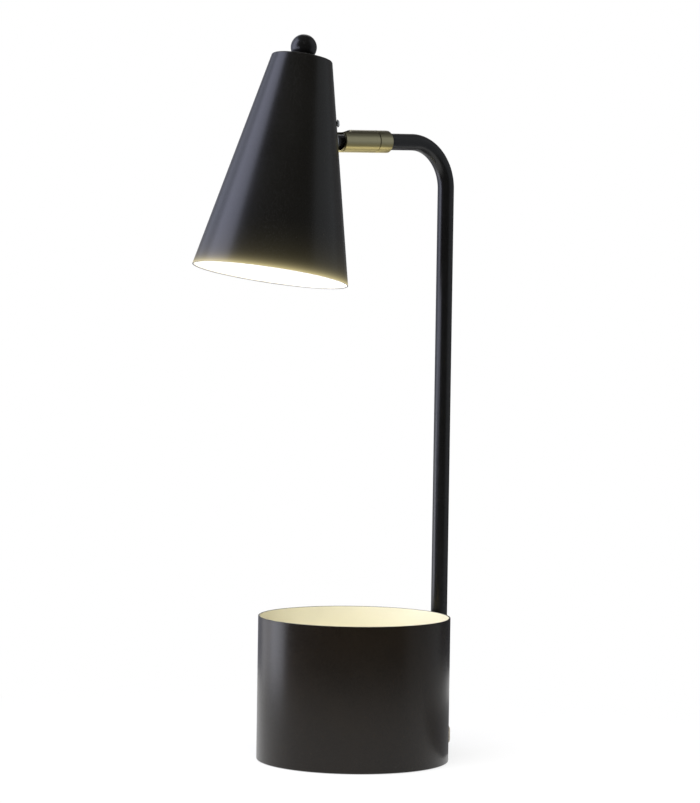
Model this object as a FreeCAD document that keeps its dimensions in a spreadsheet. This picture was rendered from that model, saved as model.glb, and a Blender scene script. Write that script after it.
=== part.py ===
import FreeCAD, Part
import math
import os
import re
import Sketcher

# Desk lamp on a round pen pot. A steel pot with a weighted floor stands on a desk, a bent tube is
# screwed to its side, and a slotted ball joint at the tube's end holds a cone shade with a bulb.
# Millimetres and degrees. The pot's axis is Z, the desk is Z = 0 and the tube stands at +X.

# Driving sizes: name, value, meaning.
SIZES = [
    ("overrun", "2", "how far a cut runs past the face that it opens"),
    ("thread_gap", "0.1", "radial play between a screw and its tapped hole"),
    ("face_gap", "0.1", "play between two faces that slide on each other"),
    # Pot and weighted base
    ("pot_radius", "75", "outside radius of the pot"),
    ("pot_wall", "1.2", "sheet thickness of the pot"),
    ("pot_height", "112.5", "top of the pot above the desk"),
    ("pot_rim_round", "0.4", "rounding of the pot's rim"),
    ("pot_foot_round", "1", "rounding of the pot's bottom edge"),
    ("lip_width", "4", "inward lip at the bottom of the pot, from the outside"),
    ("pad_thickness", "1.6", "thickness of the foot pad"),
    ("pad_margin", "0.6", "gap between the foot pad and the pot's lip"),
    ("pad_hole_gap", "1", "gap between a screw's head and its hole in the foot pad"),
    ("plate_thickness", "1.2", "thickness of the base plate"),
    ("plate_gap", "0.3", "gap between the base plate and the pot's wall"),
    ("weight_height", "18", "height of the cast weight"),
    ("weight_gap", "0.5", "gap between the weight and the floor's flange"),
    ("weight_chamfer", "1", "chamfer of the cast weight's edges"),
    ("floor_thickness", "1.2", "sheet thickness of the pot's floor"),
    ("floor_flange", "8", "depth of the floor's turned-down flange"),
    ("floor_round", "2", "rounding where the floor turns into its flange"),
    ("base_screw_circle", "40", "radius of the circle of base screws"),
    ("base_screw_count", "3", "number of base screws"),
    ("base_screw_radius", "2.5", "thread radius of a base screw"),
    ("base_screw_length", "12", "length of a base screw under its head"),
    ("base_head_radius", "4.5", "head radius of a base screw"),
    ("base_head_height", "1.1", "head height of a base screw"),
    ("base_socket_radius", "1.7", "corner radius of the hexagon socket in a base screw"),
    ("base_socket_depth", "1.4", "depth of the socket in a base screw"),
    # Pole
    ("pole_gap", "6.5", "gap between the pot and the pole"),
    ("pole_radius", "6.5", "outside radius of the pole tube"),
    ("pole_wall", "1.5", "wall of the pole tube"),
    ("pole_foot", "3", "lower end of the pole tube above the desk"),
    ("arm_height", "484.1", "where the arm's axis would meet the pole's, above the desk"),
    ("arm_lean", "1.5", "slope of the arm down towards its free end"),
    ("bend_radius", "35.8", "centre-line radius of the bend"),
    ("arm_end", "61.6", "end of the arm tube from the pole's axis"),
    ("plug_flange", "1.5", "thickness of the end plug's flange"),
    ("plug_depth", "4", "depth of the end plug inside the tube"),
    ("pole_screw_rise", "24", "height of the lower pole screw above the pot's floor"),
    ("pole_screw_drop", "18.5", "depth of the upper pole screw below the pot's rim"),
    ("spacer_inset", "0.5", "how much smaller than the pole's radius a spacer's radius is"),
    ("pole_screw_radius", "2.5", "thread radius of a pole screw"),
    ("screw_play", "0.2", "radial play of a pole screw in a plain hole"),
    ("pole_head_radius", "4.4", "head radius of a pole screw"),
    ("pole_head_height", "3", "head height of a pole screw"),
    ("pole_socket_radius", "1.75", "corner radius of the hexagon socket in a pole screw"),
    ("pole_socket_depth", "1.9", "depth of the socket in a pole screw"),
    ("washer_radius", "6", "radius of a pole screw's washer"),
    ("washer_thickness", "1", "thickness of a pole screw's washer"),
    ("insert_radius", "3.5", "radius of a threaded insert in the pole"),
    ("insert_gap", "0.5", "gap between an insert's end and the leads"),
    ("bushing_lift", "1.4", "gap between the end plug and the cord bushing's neck"),
    ("bushing_radius", "4.6", "radius of the upper and lower end of the cord bushing's collar"),
    ("bushing_rise", "3.4", "height of those ends' centres above and below the bushing's axis"),
    ("bushing_neck", "3.6", "neck radius of the cord bushing"),
    ("bushing_bore", "2.6", "bore radius of the cord bushing"),
    ("bushing_stand", "3.8", "how far the cord bushing stands out of the pole"),
    ("bushing_inside", "0.6", "how far the bushing's neck reaches past the tube's wall"),
    # Leads
    ("lead_radius", "1", "radius of one insulated lead"),
    ("lead_spread", "1.3", "offset of each lead from the middle of its pair"),
    ("lead_foot", "20", "lower end of the leads in the pole above the desk"),
    # Slotted ball joint, along the arm
    ("joint_radius", "8.75", "outside radius of the brass joint"),
    ("collar_lip", "1.1", "step from the arm up to the collar's bevelled end"),
    ("collar_taper", "1.15", "length of the collar's bevel"),
    ("collar_length", "13.6", "length of the collar from the arm's end to its seam with the sleeve"),
    ("seam_gap", "0.3", "gap at the seam"),
    ("seam_chamfer", "0.3", "chamfer of both edges at the seam"),
    ("sleeve_cover", "10", "how far the sleeve reaches past the ball's centre"),
    ("sleeve_end_chamfer", "0.5", "chamfer of the sleeve's free end"),
    ("ball_place", "24.8", "centre of the ball from the seam"),
    ("sleeve_wall", "1.35", "wall of the sleeve"),
    ("ball_gap", "0.1", "gap between the ball and its spherical seats"),
    ("lip_hold", "1.1", "how much smaller than the ball the lip is that keeps it in the sleeve"),
    ("mouth_wall", "1.55", "wall of the sleeve at its mouth"),
    ("slot_play", "0.3", "gap between the stem and each side of the sleeve's slot"),
    ("slot_back", "1", "end of the slot behind the ball's centre"),
    ("spigot_gap", "0.08", "radial running gap between spigot and sleeve"),
    ("spigot_length", "11", "length of the collar's spigot inside the sleeve"),
    ("ring_place", "3.4", "snap ring from the seam"),
    ("ring_thickness", "1", "thickness of the snap ring"),
    ("ring_bite", "0.45", "depth of the sleeve's groove for the snap ring"),
    ("ring_width", "1.2", "radial width of the snap ring"),
    ("ring_opening", "3", "width of the cut in the snap ring"),
    ("nipple_radius", "4.95", "outside radius of the lampholder's nipple"),
    ("nipple_bore", "3.2", "bore radius of a threaded nipple and of the collar"),
    ("nipple_fit", "0.05", "radial play of a nipple in what holds it"),
    ("nipple_in_arm", "12", "length of the nipple inside the arm tube"),
    ("nipple_in_collar", "10", "length of the nipple inside the collar"),
    ("spring_thickness", "0.5", "sheet thickness of the cone spring"),
    ("spring_rise", "1", "height of the cone spring's cone"),
    ("spring_bore", "4.1", "bore radius of the cone spring"),
    ("seat_bore", "3.8", "bore radius of the ball seat"),
    ("seat_rim", "4.95", "radius of the ball seat's rim"),
    # Stem between the ball and the shade
    ("stem_play", "1.2", "gap between the stem and the sleeve's lip"),
    ("stem_fit", "0.05", "radial running gap of the stem in the ball"),
    ("stem_root", "0.9", "stem's end behind the ball's centre"),
    ("stem_reach", "22.6", "distance from the ball's centre to the shade's wall"),
    ("stem_tip", "1.4", "how far the stem stands out of its inner nut"),
    ("stem_drop", "57.5", "where the stem meets the shade's wall, below the shade's closed end"),
    ("stem_nut_wall", "2.5", "wall of the nuts on the stem at their corners"),
    ("stem_nut_height", "5", "height of the nuts on the stem"),
    ("saddle_thickness", "1.3", "least thickness of the two saddle washers"),
    # Shade
    ("shade_lean", "9.64", "lean of the shade's axis, its top towards the pole"),
    ("shade_mouth", "59.7", "outside radius of the shade's open end"),
    ("shade_top", "23.2", "outside radius of the shade's closed end"),
    ("shade_height", "168.4", "height of the shade along its axis"),
    ("shade_wall", "0.8", "sheet thickness of the shade"),
    ("shade_round", "1.8", "rounding of the shade's closed end"),
    ("finial_radius", "10", "radius of the ball on top of the shade"),
    ("finial_flat", "6.13", "radius of the flat on which that ball sits"),
    ("finial_tap", "10", "depth of the tapped hole in that ball"),
    ("finial_screw_radius", "2", "thread radius of the finial screw"),
    ("finial_screw_length", "9", "length of the finial screw above its head"),
    ("finial_head_radius", "3.8", "head radius of the finial screw"),
    ("finial_head_height", "2.4", "head height of the finial screw"),
    # Lampholder bracket
    ("bracket_sheet", "1.2", "sheet thickness of the bracket"),
    ("bracket_skirt", "12.9", "how far the bracket reaches below the stem's axis"),
    ("shelf_drop", "24.4", "underside of the bracket's shelf below the shade's closed end"),
    ("bracket_angle", "104", "angle that the bracket covers on the shade's wall"),
    ("shelf_disc", "14", "radius of the shelf's round middle"),
    ("lead_hole", "3", "radius of the lead hole in the shelf"),
    ("bracket_screw_angle", "40", "angle of each bracket screw from the stem"),
    ("bracket_screw_rise", "11.1", "height of the bracket screws above the stem's axis"),
    ("bracket_screw_radius", "1.5", "thread radius of a bracket screw"),
    ("bracket_screw_length", "7", "length of a bracket screw under its head"),
    ("bracket_head_radius", "3.1", "head radius of a bracket screw"),
    ("bracket_head_height", "2.3", "height of a bracket screw's domed head"),
    ("bracket_nut_radius", "3.1", "corner radius of a bracket nut"),
    ("bracket_nut_height", "2.2", "height of a bracket nut"),
    ("bracket_nut_lift", "0.2", "lift of a flat nut off the hollow side of the bracket"),
    # Lampholder
    ("core_rim", "1.3", "wall of the insulating core round the threaded shell"),
    ("holder_wall", "2", "wall of the lampholder's cap and skirt"),
    ("cap_flat", "1.5", "width of the flat ring round the neck under the lampholder's cap"),
    ("cap_shoulder", "8", "height of the cap's straight part"),
    ("cap_height", "24", "height of the lampholder's cap"),
    ("cap_neck", "7", "depth of the cap's threaded neck"),
    ("cap_neck_wall", "3", "wall of the cap's threaded neck"),
    ("skirt_cover", "4.4", "how far the skirt reaches past the bulb's cap"),
    ("skirt_thread", "6", "length of the skirt's thread inside the cap"),
    ("skirt_thread_wall", "1.5", "wall of the skirt's thread"),
    ("core_height", "9", "height of the insulating core"),
    ("core_ledge", "2", "height of the ledge under the core"),
    ("socket_radius", "13.5", "inside radius of the threaded shell"),
    ("socket_wall", "0.5", "sheet thickness of the threaded shell"),
    ("socket_depth", "18", "depth of the threaded shell"),
    ("contact_radius", "4.5", "radius of the centre contact's plate"),
    ("contact_plate", "0.8", "thickness of the centre contact's plate"),
    ("contact_dome", "1.6", "height of the centre contact's dome"),
    ("contact_dome_radius", "2.4", "radius of the centre contact's dome"),
    ("holder_nut_height", "4", "height of the lampholder's lock nut"),
    ("holder_nut_radius", "8", "corner radius of the lampholder's lock nut"),
    ("nipple_above_nut", "2", "how far the holder's nipple stands out of its nut"),
    ("lead_gap", "1.6", "gap between the rising leads and the lampholder"),
    ("lead_rise", "13.5", "height of the leads above the shelf's underside"),
    ("lead_low_bend", "6", "bend radius of the leads at the stem"),
    ("lead_top_bend", "8", "bend radius of the leads over the shelf"),
    ("lead_in_stem", "10", "length of the leads inside the stem, from the shade's wall"),
    # Bulb
    ("bulb_play", "0.4", "radial play of the bulb's screw cap in the threaded shell"),
    ("bulb_cap_sheet", "0.6", "sheet thickness of the bulb's screw cap"),
    ("bulb_cap_length", "18", "length of the bulb's screw cap"),
    ("bulb_insulator", "3.4", "height of the glass insulator at the cap's end"),
    ("bulb_insulator_radius", "5.2", "end radius of the insulator"),
    ("bulb_contact_radius", "3.6", "radius of the bulb's end contact"),
    ("bulb_contact_height", "0.8", "height of the bulb's end contact"),
    ("housing_length", "21", "length of the bulb's housing outside its cap"),
    ("housing_step", "0.7", "step from the bulb's cap out to its housing"),
    ("globe_radius", "22.5", "radius of the opal globe"),
    ("globe_wall", "1", "wall of the opal globe"),
    ("globe_cut", "9", "where the globe meets the housing, from the globe's centre"),
    ("board_gap", "1.5", "gap between the board that carries the light emitters and the globe"),
    ("led_board_thickness", "1.6", "thickness of that board"),
]

# Sizes worked out from the driving ones.
FORMULAS = {
    # Pot
    "pot_bore": "pot_radius - pot_wall",
    "plate_base": "pad_thickness",
    "plate_top": "plate_base + plate_thickness",
    "shell_base": "plate_base - pot_wall",
    "pot_lip": "pot_radius - lip_width",
    "pad_radius": "pot_lip - pad_margin",
    "floor_base": "plate_top + weight_height",
    "floor_top": "floor_base + floor_thickness",
    "flange_bore": "pot_bore - floor_thickness",
    "weight_radius": "flange_bore - weight_gap",
    "base_shank": "base_screw_radius - thread_gap",
    "pad_hole": "base_head_radius + pad_hole_gap",
    # Pole
    "pole_bore": "pole_radius - pole_wall",
    "pole_reach": "pot_radius + pole_gap + pole_radius",
    "pole_screw_low": "floor_top + pole_screw_rise",
    "pole_screw_high": "pot_height - pole_screw_drop",
    "spacer_radius": "pole_radius - spacer_inset",
    "insert_depth": "pole_radius - lead_radius - insert_gap",
    "bushing_level": "pole_foot + plug_depth + bushing_lift + bushing_neck",
    "pole_face": "pole_reach - pole_radius",
    "pole_shank": "pole_screw_radius - thread_gap",
    "pole_screw_hole": "pole_screw_radius + screw_play",
    "washer_face": "sqrt(pot_bore ^ 2 - washer_radius ^ 2)",
    "head_face": "washer_face - washer_thickness",
    "bend_reach": "bend_radius * tan(45 + arm_lean / 2)",
    "bend_level": "arm_height - bend_reach",
    "ball_x": "pole_reach - ball_reach * cos(arm_lean)",
    "ball_z": "arm_height - ball_reach * sin(arm_lean)",
    # Joint, its places measured along the arm from the pole's axis
    "collar_tip_radius": "pole_radius + collar_lip",
    "arm_nipple_radius": "pole_bore - nipple_fit",
    "joint_seam": "arm_end + collar_length",
    "ball_reach": "joint_seam + ball_place",
    "sleeve_end": "ball_reach + sleeve_cover",
    "seat_sphere": "joint_radius - sleeve_wall",
    "ball_radius": "seat_sphere - ball_gap",
    "lip_radius": "ball_radius - lip_hold",
    "mouth_radius": "joint_radius - mouth_wall",
    "stem_radius": "lip_radius - stem_play",
    "slot_width": "2 * (stem_radius + slot_play)",
    "seat_cover": "sqrt(seat_sphere ^ 2 - seat_rim ^ 2)",
    "spigot_radius": "seat_sphere - spigot_gap",
    "spigot_end": "joint_seam + spigot_length",
    "sleeve_start": "joint_seam + seam_gap",
    "lip_place": "ball_reach + sqrt(seat_sphere ^ 2 - lip_radius ^ 2)",
    "ring_low": "sleeve_start + ring_place",
    "ring_high": "ring_low + ring_thickness",
    "ring_outer": "seat_sphere + ring_bite - face_gap / 2",
    "ring_inner": "ring_outer - ring_width",
    "collar_end": "arm_end + nipple_in_collar",
    "nipple_hold": "nipple_radius + nipple_fit",
    "spring_low": "spigot_end + face_gap",
    "spring_outer": "seat_sphere - face_gap",
    "seat_low": "spring_low + spring_rise + spring_thickness",
    "seat_high": "ball_reach - seat_cover",
    "slot_middle": "ball_reach - slot_back + slot_width / 2",
    # Shade
    "half_angle": "atan((shade_mouth - shade_top) / shade_height) / 1 deg",
    "droop": "half_angle - shade_lean",
    "slope": "(shade_mouth - shade_top) / shade_height",
    "wall_across": "shade_wall / cos(half_angle)",
    "lining_across": "(shade_wall + face_gap) / cos(half_angle)",
    "sheet_across": "bracket_sheet / cos(half_angle)",
    "round_middle": "shade_top - shade_round * (1 - sin(half_angle)) / cos(half_angle)",
    "round_level": "shade_height - shade_round",
    "inner_round": "shade_round - shade_wall",
    "stem_level": "shade_height - stem_drop",
    "stem_wall": "shade_mouth - stem_level * slope",
    "ball_out": "stem_wall + stem_reach * cos(half_angle)",
    "ball_up": "stem_level + stem_reach * sin(half_angle)",
    "shade_x": "ball_x - ball_out * cos(shade_lean) - ball_up * sin(shade_lean)",
    "shade_z": "ball_z + ball_out * sin(shade_lean) - ball_up * cos(shade_lean)",
    "mouth_bore": "shade_mouth - wall_across",
    "finial_rise": "sqrt(finial_radius ^ 2 - finial_flat ^ 2)",
    "finial_shank": "finial_screw_radius - thread_gap",
    "top_under": "shade_height - shade_wall",
    # Stem
    "stem_nut_radius": "stem_radius + stem_nut_wall",
    "saddle_radius": "stem_nut_radius",
    "stem_seat": "stem_reach - saddle_thickness",
    "stem_nut_low": "stem_seat - stem_nut_height",
    "inner_face": "stem_reach + shade_wall + face_gap + bracket_sheet",
    "inner_nut_low": "inner_face + saddle_thickness",
    "stem_end": "inner_nut_low + stem_nut_height + stem_tip",
    "stem_hole": "stem_radius + thread_gap",
    # Bracket, lampholder and bulb, as heights above the shade's mouth
    "bracket_low": "stem_level - bracket_skirt",
    "bracket_screw_level": "stem_level + bracket_screw_rise",
    "shelf_level": "shade_height - shelf_drop",
    "shelf_top": "shelf_level + bracket_sheet",
    "bracket_wall": "shade_mouth - bracket_screw_level * slope",
    "bracket_shank": "bracket_screw_radius - thread_gap",
    "bracket_head_dome": "(bracket_head_radius ^ 2 + bracket_head_height ^ 2) / (2 * bracket_head_height)",
    "bracket_nut_face": "shade_wall + face_gap + bracket_sheet + bracket_nut_lift",
    "nut_top": "shelf_top + holder_nut_height",
    "cap_top_radius": "nipple_hold + cap_neck_wall + holder_wall + cap_flat",
    "cap_low": "shelf_level - cap_height",
    "socket_outer": "socket_radius + socket_wall",
    "core_bore": "socket_outer + face_gap",
    "core_radius": "core_bore + core_rim",
    "thread_radius": "core_radius + skirt_thread_wall",
    "holder_bore": "thread_radius + thread_gap",
    "holder_radius": "holder_bore + holder_wall",
    "skirt_top": "cap_low + skirt_thread",
    "skirt_low": "bulb_cap_low - skirt_cover",
    "core_low": "skirt_top - core_height",
    "socket_low": "core_low - socket_depth",
    "contact_low": "core_low - contact_plate - contact_dome",
    "cap_tip": "contact_low - bulb_contact_height",
    "cap_shoulder_level": "cap_tip - bulb_insulator",
    "bulb_cap_low": "cap_shoulder_level - bulb_cap_length",
    "bulb_cap_radius": "socket_radius - bulb_play",
    "bulb_neck_radius": "bulb_cap_radius - bulb_cap_sheet",
    "housing_neck": "bulb_cap_radius + housing_step",
    "housing_low": "bulb_cap_low - housing_length",
    "globe_middle": "housing_low - globe_cut",
    "globe_mouth": "sqrt(globe_radius ^ 2 - globe_cut ^ 2)",
    "globe_inner": "globe_radius - globe_wall",
    "globe_inner_mouth": "sqrt(globe_inner ^ 2 - globe_cut ^ 2)",
    "led_board_radius": "globe_inner_mouth - board_gap",
    # Leads in the shade
    "lead_riser": "holder_radius + lead_gap + lead_radius",
    "lead_top": "shelf_level + lead_rise",
    "lead_stem_level": "stem_level - (stem_wall - lead_riser) * slope",
    "lead_low_reach": "lead_low_bend * tan(45 + half_angle / 2)",
    "lead_start_out": "stem_wall + lead_in_stem * cos(half_angle)",
    "lead_start_up": "stem_level + lead_in_stem * sin(half_angle)",
    "lead_end_level": "shelf_level - cap_neck",
}

# Frames: the arm's axis, the ball's stem, and the shade with a point on its wall. In the arm and
# stem frames Z runs away from the pole, and X points up.
ARM = "placement(vector(pole_reach; 0; arm_height); rotation(vector(0; 1; 0); -90 - arm_lean))"
STEM = "placement(vector(ball_x; 0; ball_z); rotation(vector(0; 1; 0); -90 - droop))"
SHADE = "placement(vector(shade_x; 0; shade_z); rotation(vector(0; 1; 0); shade_lean))"
STEM_IN_SHADE = "placement(vector(ball_out; 0; ball_up); rotation(vector(0; 1; 0); -90 - half_angle))"
SCREW_IN_SHADE = ("placement(vector(bracket_wall; 0; bracket_screw_level);"
                  " rotation(vector(0; 1; 0); -90 - half_angle))")

FUNCTIONS = {"sqrt", "sin", "cos", "tan", "atan", "deg", "placement", "vector", "rotation"}
ALIASES = {name for name, value, meaning in SIZES}

doc = FreeCAD.newDocument("desk_lamp")
kept = []


def full(text):
    """Write an expression out: named sizes point at the sheet, and formulas are put in brackets."""
    def swap(match):
        word = match.group(0)
        if word in ALIASES:
            return "sizes." + word
        if word in FORMULAS:
            return "(" + full(FORMULAS[word]) + ")"
        if word in FUNCTIONS:
            return word
        raise ValueError("unknown size " + word)
    return re.sub(r"[a-z][a-z_]*", swap, text)


def bind(thing, **expressions):
    """Bind properties to expressions over the named sizes."""
    for name, text in expressions.items():
        thing.setExpression(name, full(text))


def number(thing, text):
    """The present value of an expression."""
    value = thing.evalExpression(full(text))
    return float(getattr(value, "Value", value))


def at(x="0", y="0", z="0", axis="0; 0; 1", turn="0"):
    """A placement as an expression: a place, and a turn about an axis."""
    return "placement(vector({}; {}; {}); rotation(vector({}); {}))".format(x, y, z, axis, turn)


def along_x(x, z):
    """A placement whose own Z points along +X."""
    return at(x=x, z=z, axis="0; 1; 0", turn="90")


def make_sheet():
    """The spreadsheet of driving sizes, one named cell each."""
    sheet = doc.addObject("Spreadsheet::Sheet", "sizes")
    for row, (name, value, meaning) in enumerate(SIZES, start=1):
        sheet.set("A{}".format(row), meaning)
        sheet.set("B{}".format(row), value)
        sheet.setAlias("B{}".format(row), name)
    doc.recompute()


def keep(thing, label):
    """Mark an object as a piece to be written, under its label."""
    thing.Label = label
    kept.append(thing)
    return thing


def new_body(label, frame=None):
    """A kept body, placed by the frame."""
    body = keep(doc.addObject("PartDesign::Body", label), label)
    if frame:
        bind(body, Placement=frame)
    return body


def new_sketch(body, name, role, offset=None):
    """A sketch on one of the body's own planes."""
    sketch = body.newObject("Sketcher::SketchObject", name)
    plane = [item for item in body.Origin.OriginFeatures if item.Role == role][0]
    sketch.AttachmentSupport = [(plane, "")]
    sketch.MapMode = "FlatFace"
    if offset:
        sketch.setExpression("AttachmentOffset.Base.z", full(offset))
    return sketch


def pin_point(sketch, item, end, x, y):
    """Hold one point of a sketch at two named distances from the origin."""
    if x == "0" and y == "0":
        sketch.addConstraint(Sketcher.Constraint("Coincident", item, end, -1, 1))
        return
    for kind, text, axis in (("DistanceX", x, -2), ("DistanceY", y, -1)):
        if text == "0":
            sketch.addConstraint(Sketcher.Constraint("PointOnObject", item, end, axis))
            continue
        value = number(sketch, text)
        index = sketch.addConstraint(Sketcher.Constraint(kind, -1, 1, item, end, value))
        sketch.setExpression("Constraints[{}]".format(index), full(text))


def arc_between(first, last, radius, turns_left):
    """A circle's arc shorter than half a turn from one point to another."""
    chord = last - first
    side = FreeCAD.Vector(-chord.y, chord.x, 0)
    side.normalize()
    drop = math.sqrt(max(radius ** 2 - (chord.Length / 2) ** 2, 0))
    middle = first + chord * 0.5 + side * (drop if turns_left else -drop)
    start, end = (first, last) if turns_left else (last, first)
    angles = [math.atan2(p.y - middle.y, p.x - middle.x) for p in (start, end)]
    circle = Part.Circle(middle, FreeCAD.Vector(0, 0, 1), radius)
    return Part.ArcOfCircle(circle, angles[0], angles[1])


def draw(sketch, points, closed=True):
    """Draw an outline. A point is (x, y), or (x, y, radius, "left" or "right") where an arc that
    turns that way runs from it to the next point. All sizes are named."""
    places = [FreeCAD.Vector(number(sketch, p[0]), number(sketch, p[1]), 0) for p in points]
    count = len(points) if closed else len(points) - 1
    ends = []
    for index in range(count):
        point = points[index]
        first = places[index]
        last = places[(index + 1) % len(points)]
        if len(point) == 2:
            item = sketch.addGeometry(Part.LineSegment(first, last), False)
            ends.append((item, 1, 2))
            continue
        left = point[3] == "left"
        radius = number(sketch, point[2])
        item = sketch.addGeometry(arc_between(first, last, radius, left), False)
        ends.append((item, 1, 2) if left else (item, 2, 1))
    for index, (item, start, end) in enumerate(ends):
        pin_point(sketch, item, start, points[index][0], points[index][1])
        if index + 1 < count or closed:
            following = ends[(index + 1) % count]
            sketch.addConstraint(Sketcher.Constraint("Coincident", item, end, following[0], following[1]))
    if not closed:
        item, start, end = ends[-1]
        pin_point(sketch, item, end, points[-1][0], points[-1][1])
    for index, (item, start, end) in enumerate(ends):
        if len(points[index]) > 2:
            radius = number(sketch, points[index][2])
            place = sketch.addConstraint(Sketcher.Constraint("Radius", item, radius))
            sketch.setExpression("Constraints[{}]".format(place), full(points[index][2]))


def turned(label, points, frame=None, sweep=None):
    """A body turned from an outline of (radius, height) points about its own Z axis."""
    body = new_body(label, frame)
    sketch = new_sketch(body, label + "_outline", "XZ_Plane")
    draw(sketch, points)
    solid = body.newObject("PartDesign::Revolution", label + "_turned")
    solid.Profile = sketch
    solid.ReferenceAxis = (sketch, ["V_Axis"])
    solid.Angle = 360
    if sweep:
        solid.Midplane = True
        bind(solid, Angle=sweep)
    body.Tip = solid
    return body


def ring(label, inner, outer, low, high, frame=None):
    """A turned body of rectangular section."""
    return turned(label, [(inner, low), (outer, low), (outer, high), (inner, high)], frame)


def shape_body(body, kind, name, place, **sizes):
    """Add a primitive to a body, or cut one out of it."""
    item = body.newObject("PartDesign::" + kind, name)
    bind(item, Placement=place, **sizes)
    body.Tip = item
    return item


def drill(body, name, radius, length, place):
    """A round hole along the place's own Z."""
    return shape_body(body, "SubtractiveCylinder", name, place, Radius=radius, Height=length)


def around(body, feature, name, count):
    """Repeat a feature evenly round the body's Z axis."""
    pattern = body.newObject("PartDesign::PolarPattern", name)
    pattern.Originals = [feature]
    axis = [item for item in body.Origin.OriginFeatures if item.Role == "Z_Axis"][0]
    pattern.Axis = (axis, [""])
    pattern.Angle = 360
    bind(pattern, Occurrences=count)
    body.Tip = pattern
    return pattern


def piped(label, path, profile_x, radii, start, frame=None, hidden=False):
    """A body swept along an open path in the XZ plane that starts upwards at height start."""
    body = doc.addObject("PartDesign::Body", label) if hidden else new_body(label, frame)
    spine = new_sketch(body, label + "_path", "XZ_Plane")
    draw(spine, path, closed=False)
    section = new_sketch(body, label + "_section", "XY_Plane", offset=start)
    for radius in radii:
        middle = FreeCAD.Vector(number(section, profile_x), 0, 0)
        circle = Part.Circle(middle, FreeCAD.Vector(0, 0, 1), number(section, radius))
        item = section.addGeometry(circle, False)
        pin_point(section, item, 3, profile_x, "0")
        place = section.addConstraint(Sketcher.Constraint("Radius", item, number(section, radius)))
        section.setExpression("Constraints[{}]".format(place), full(radius))
    doc.recompute()
    pipe = body.newObject("PartDesign::AdditivePipe", label + "_swept")
    pipe.Profile = section
    pipe.Spine = spine
    body.Tip = pipe
    return body


def solid(kind, name, place, **sizes):
    """A Part primitive with bound sizes."""
    item = doc.addObject("Part::" + kind, name)
    bind(item, Placement=place, **sizes)
    return item


def cut(name, base, *tools):
    """Cut tools out of a base, one after another."""
    for number_of_cut, tool in enumerate(tools, start=1):
        result = doc.addObject("Part::Cut", "{}_{}".format(name, number_of_cut))
        result.Base = base
        result.Tool = tool
        base = result
    return base


def common(name, base, tool):
    """What two solids share."""
    result = doc.addObject("Part::Common", name)
    result.Base = base
    result.Tool = tool
    return result


def copies(label, original, places, frame=None):
    """A kept group of separate solids: the original, linked at each place."""
    links = []
    for index, place in enumerate(places, start=1):
        link = doc.addObject("App::Link", "{}_{}".format(label, index))
        link.LinkedObject = original
        bind(link, Placement=place)
        links.append(link)
    group = keep(doc.addObject("Part::Compound", label), label)
    group.Links = links
    if frame:
        bind(group, Placement=frame)
    return group


def hidden_turned(name, points):
    """A turned body that is only the original of copies."""
    body = turned(name, points)
    kept.remove(body)
    return body


def hex_nut(label, radius, height, bore, place, frame=None):
    """A hexagon nut with its bore along the place's own Z."""
    body = new_body(label, frame)
    shape_body(body, "AdditivePrism", label + "_blank", place, Circumradius=radius, Height=height)
    drill(body, label + "_bore", bore, height + " + 2 * overrun", place + " * " + at(z="-overrun"))
    return body


def wall_line(level):
    """Outside radius of the shade at a height above its mouth."""
    return "(shade_mouth - ({}) * slope)".format(level)


def make_pot():
    """Pot with a turned-in lip at the foot, and the floor pressed into it."""
    shell = turned("pot_shell", [
        ("pot_lip", "shell_base"),
        ("pot_radius - pot_foot_round", "shell_base", "pot_foot_round", "left"),
        ("pot_radius", "shell_base + pot_foot_round"),
        ("pot_radius", "pot_height - pot_rim_round", "pot_rim_round", "left"),
        ("pot_radius - pot_rim_round", "pot_height"),
        ("pot_bore", "pot_height"),
        ("pot_bore", "plate_base"),
        ("pot_lip", "plate_base"),
    ])
    for name, level in (("low", "pole_screw_low"), ("high", "pole_screw_high")):
        drill(shell, "pot_hole_" + name, "pole_screw_hole", "pot_wall + 2 * overrun",
              along_x("pot_bore - overrun", level))
    turned("pot_floor", [
        ("0", "floor_base"),
        ("flange_bore", "floor_base"),
        ("flange_bore", "floor_base - floor_flange"),
        ("pot_bore", "floor_base - floor_flange"),
        ("pot_bore", "floor_top - floor_round", "floor_round", "left"),
        ("pot_bore - floor_round", "floor_top"),
        ("0", "floor_top"),
    ])


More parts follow.
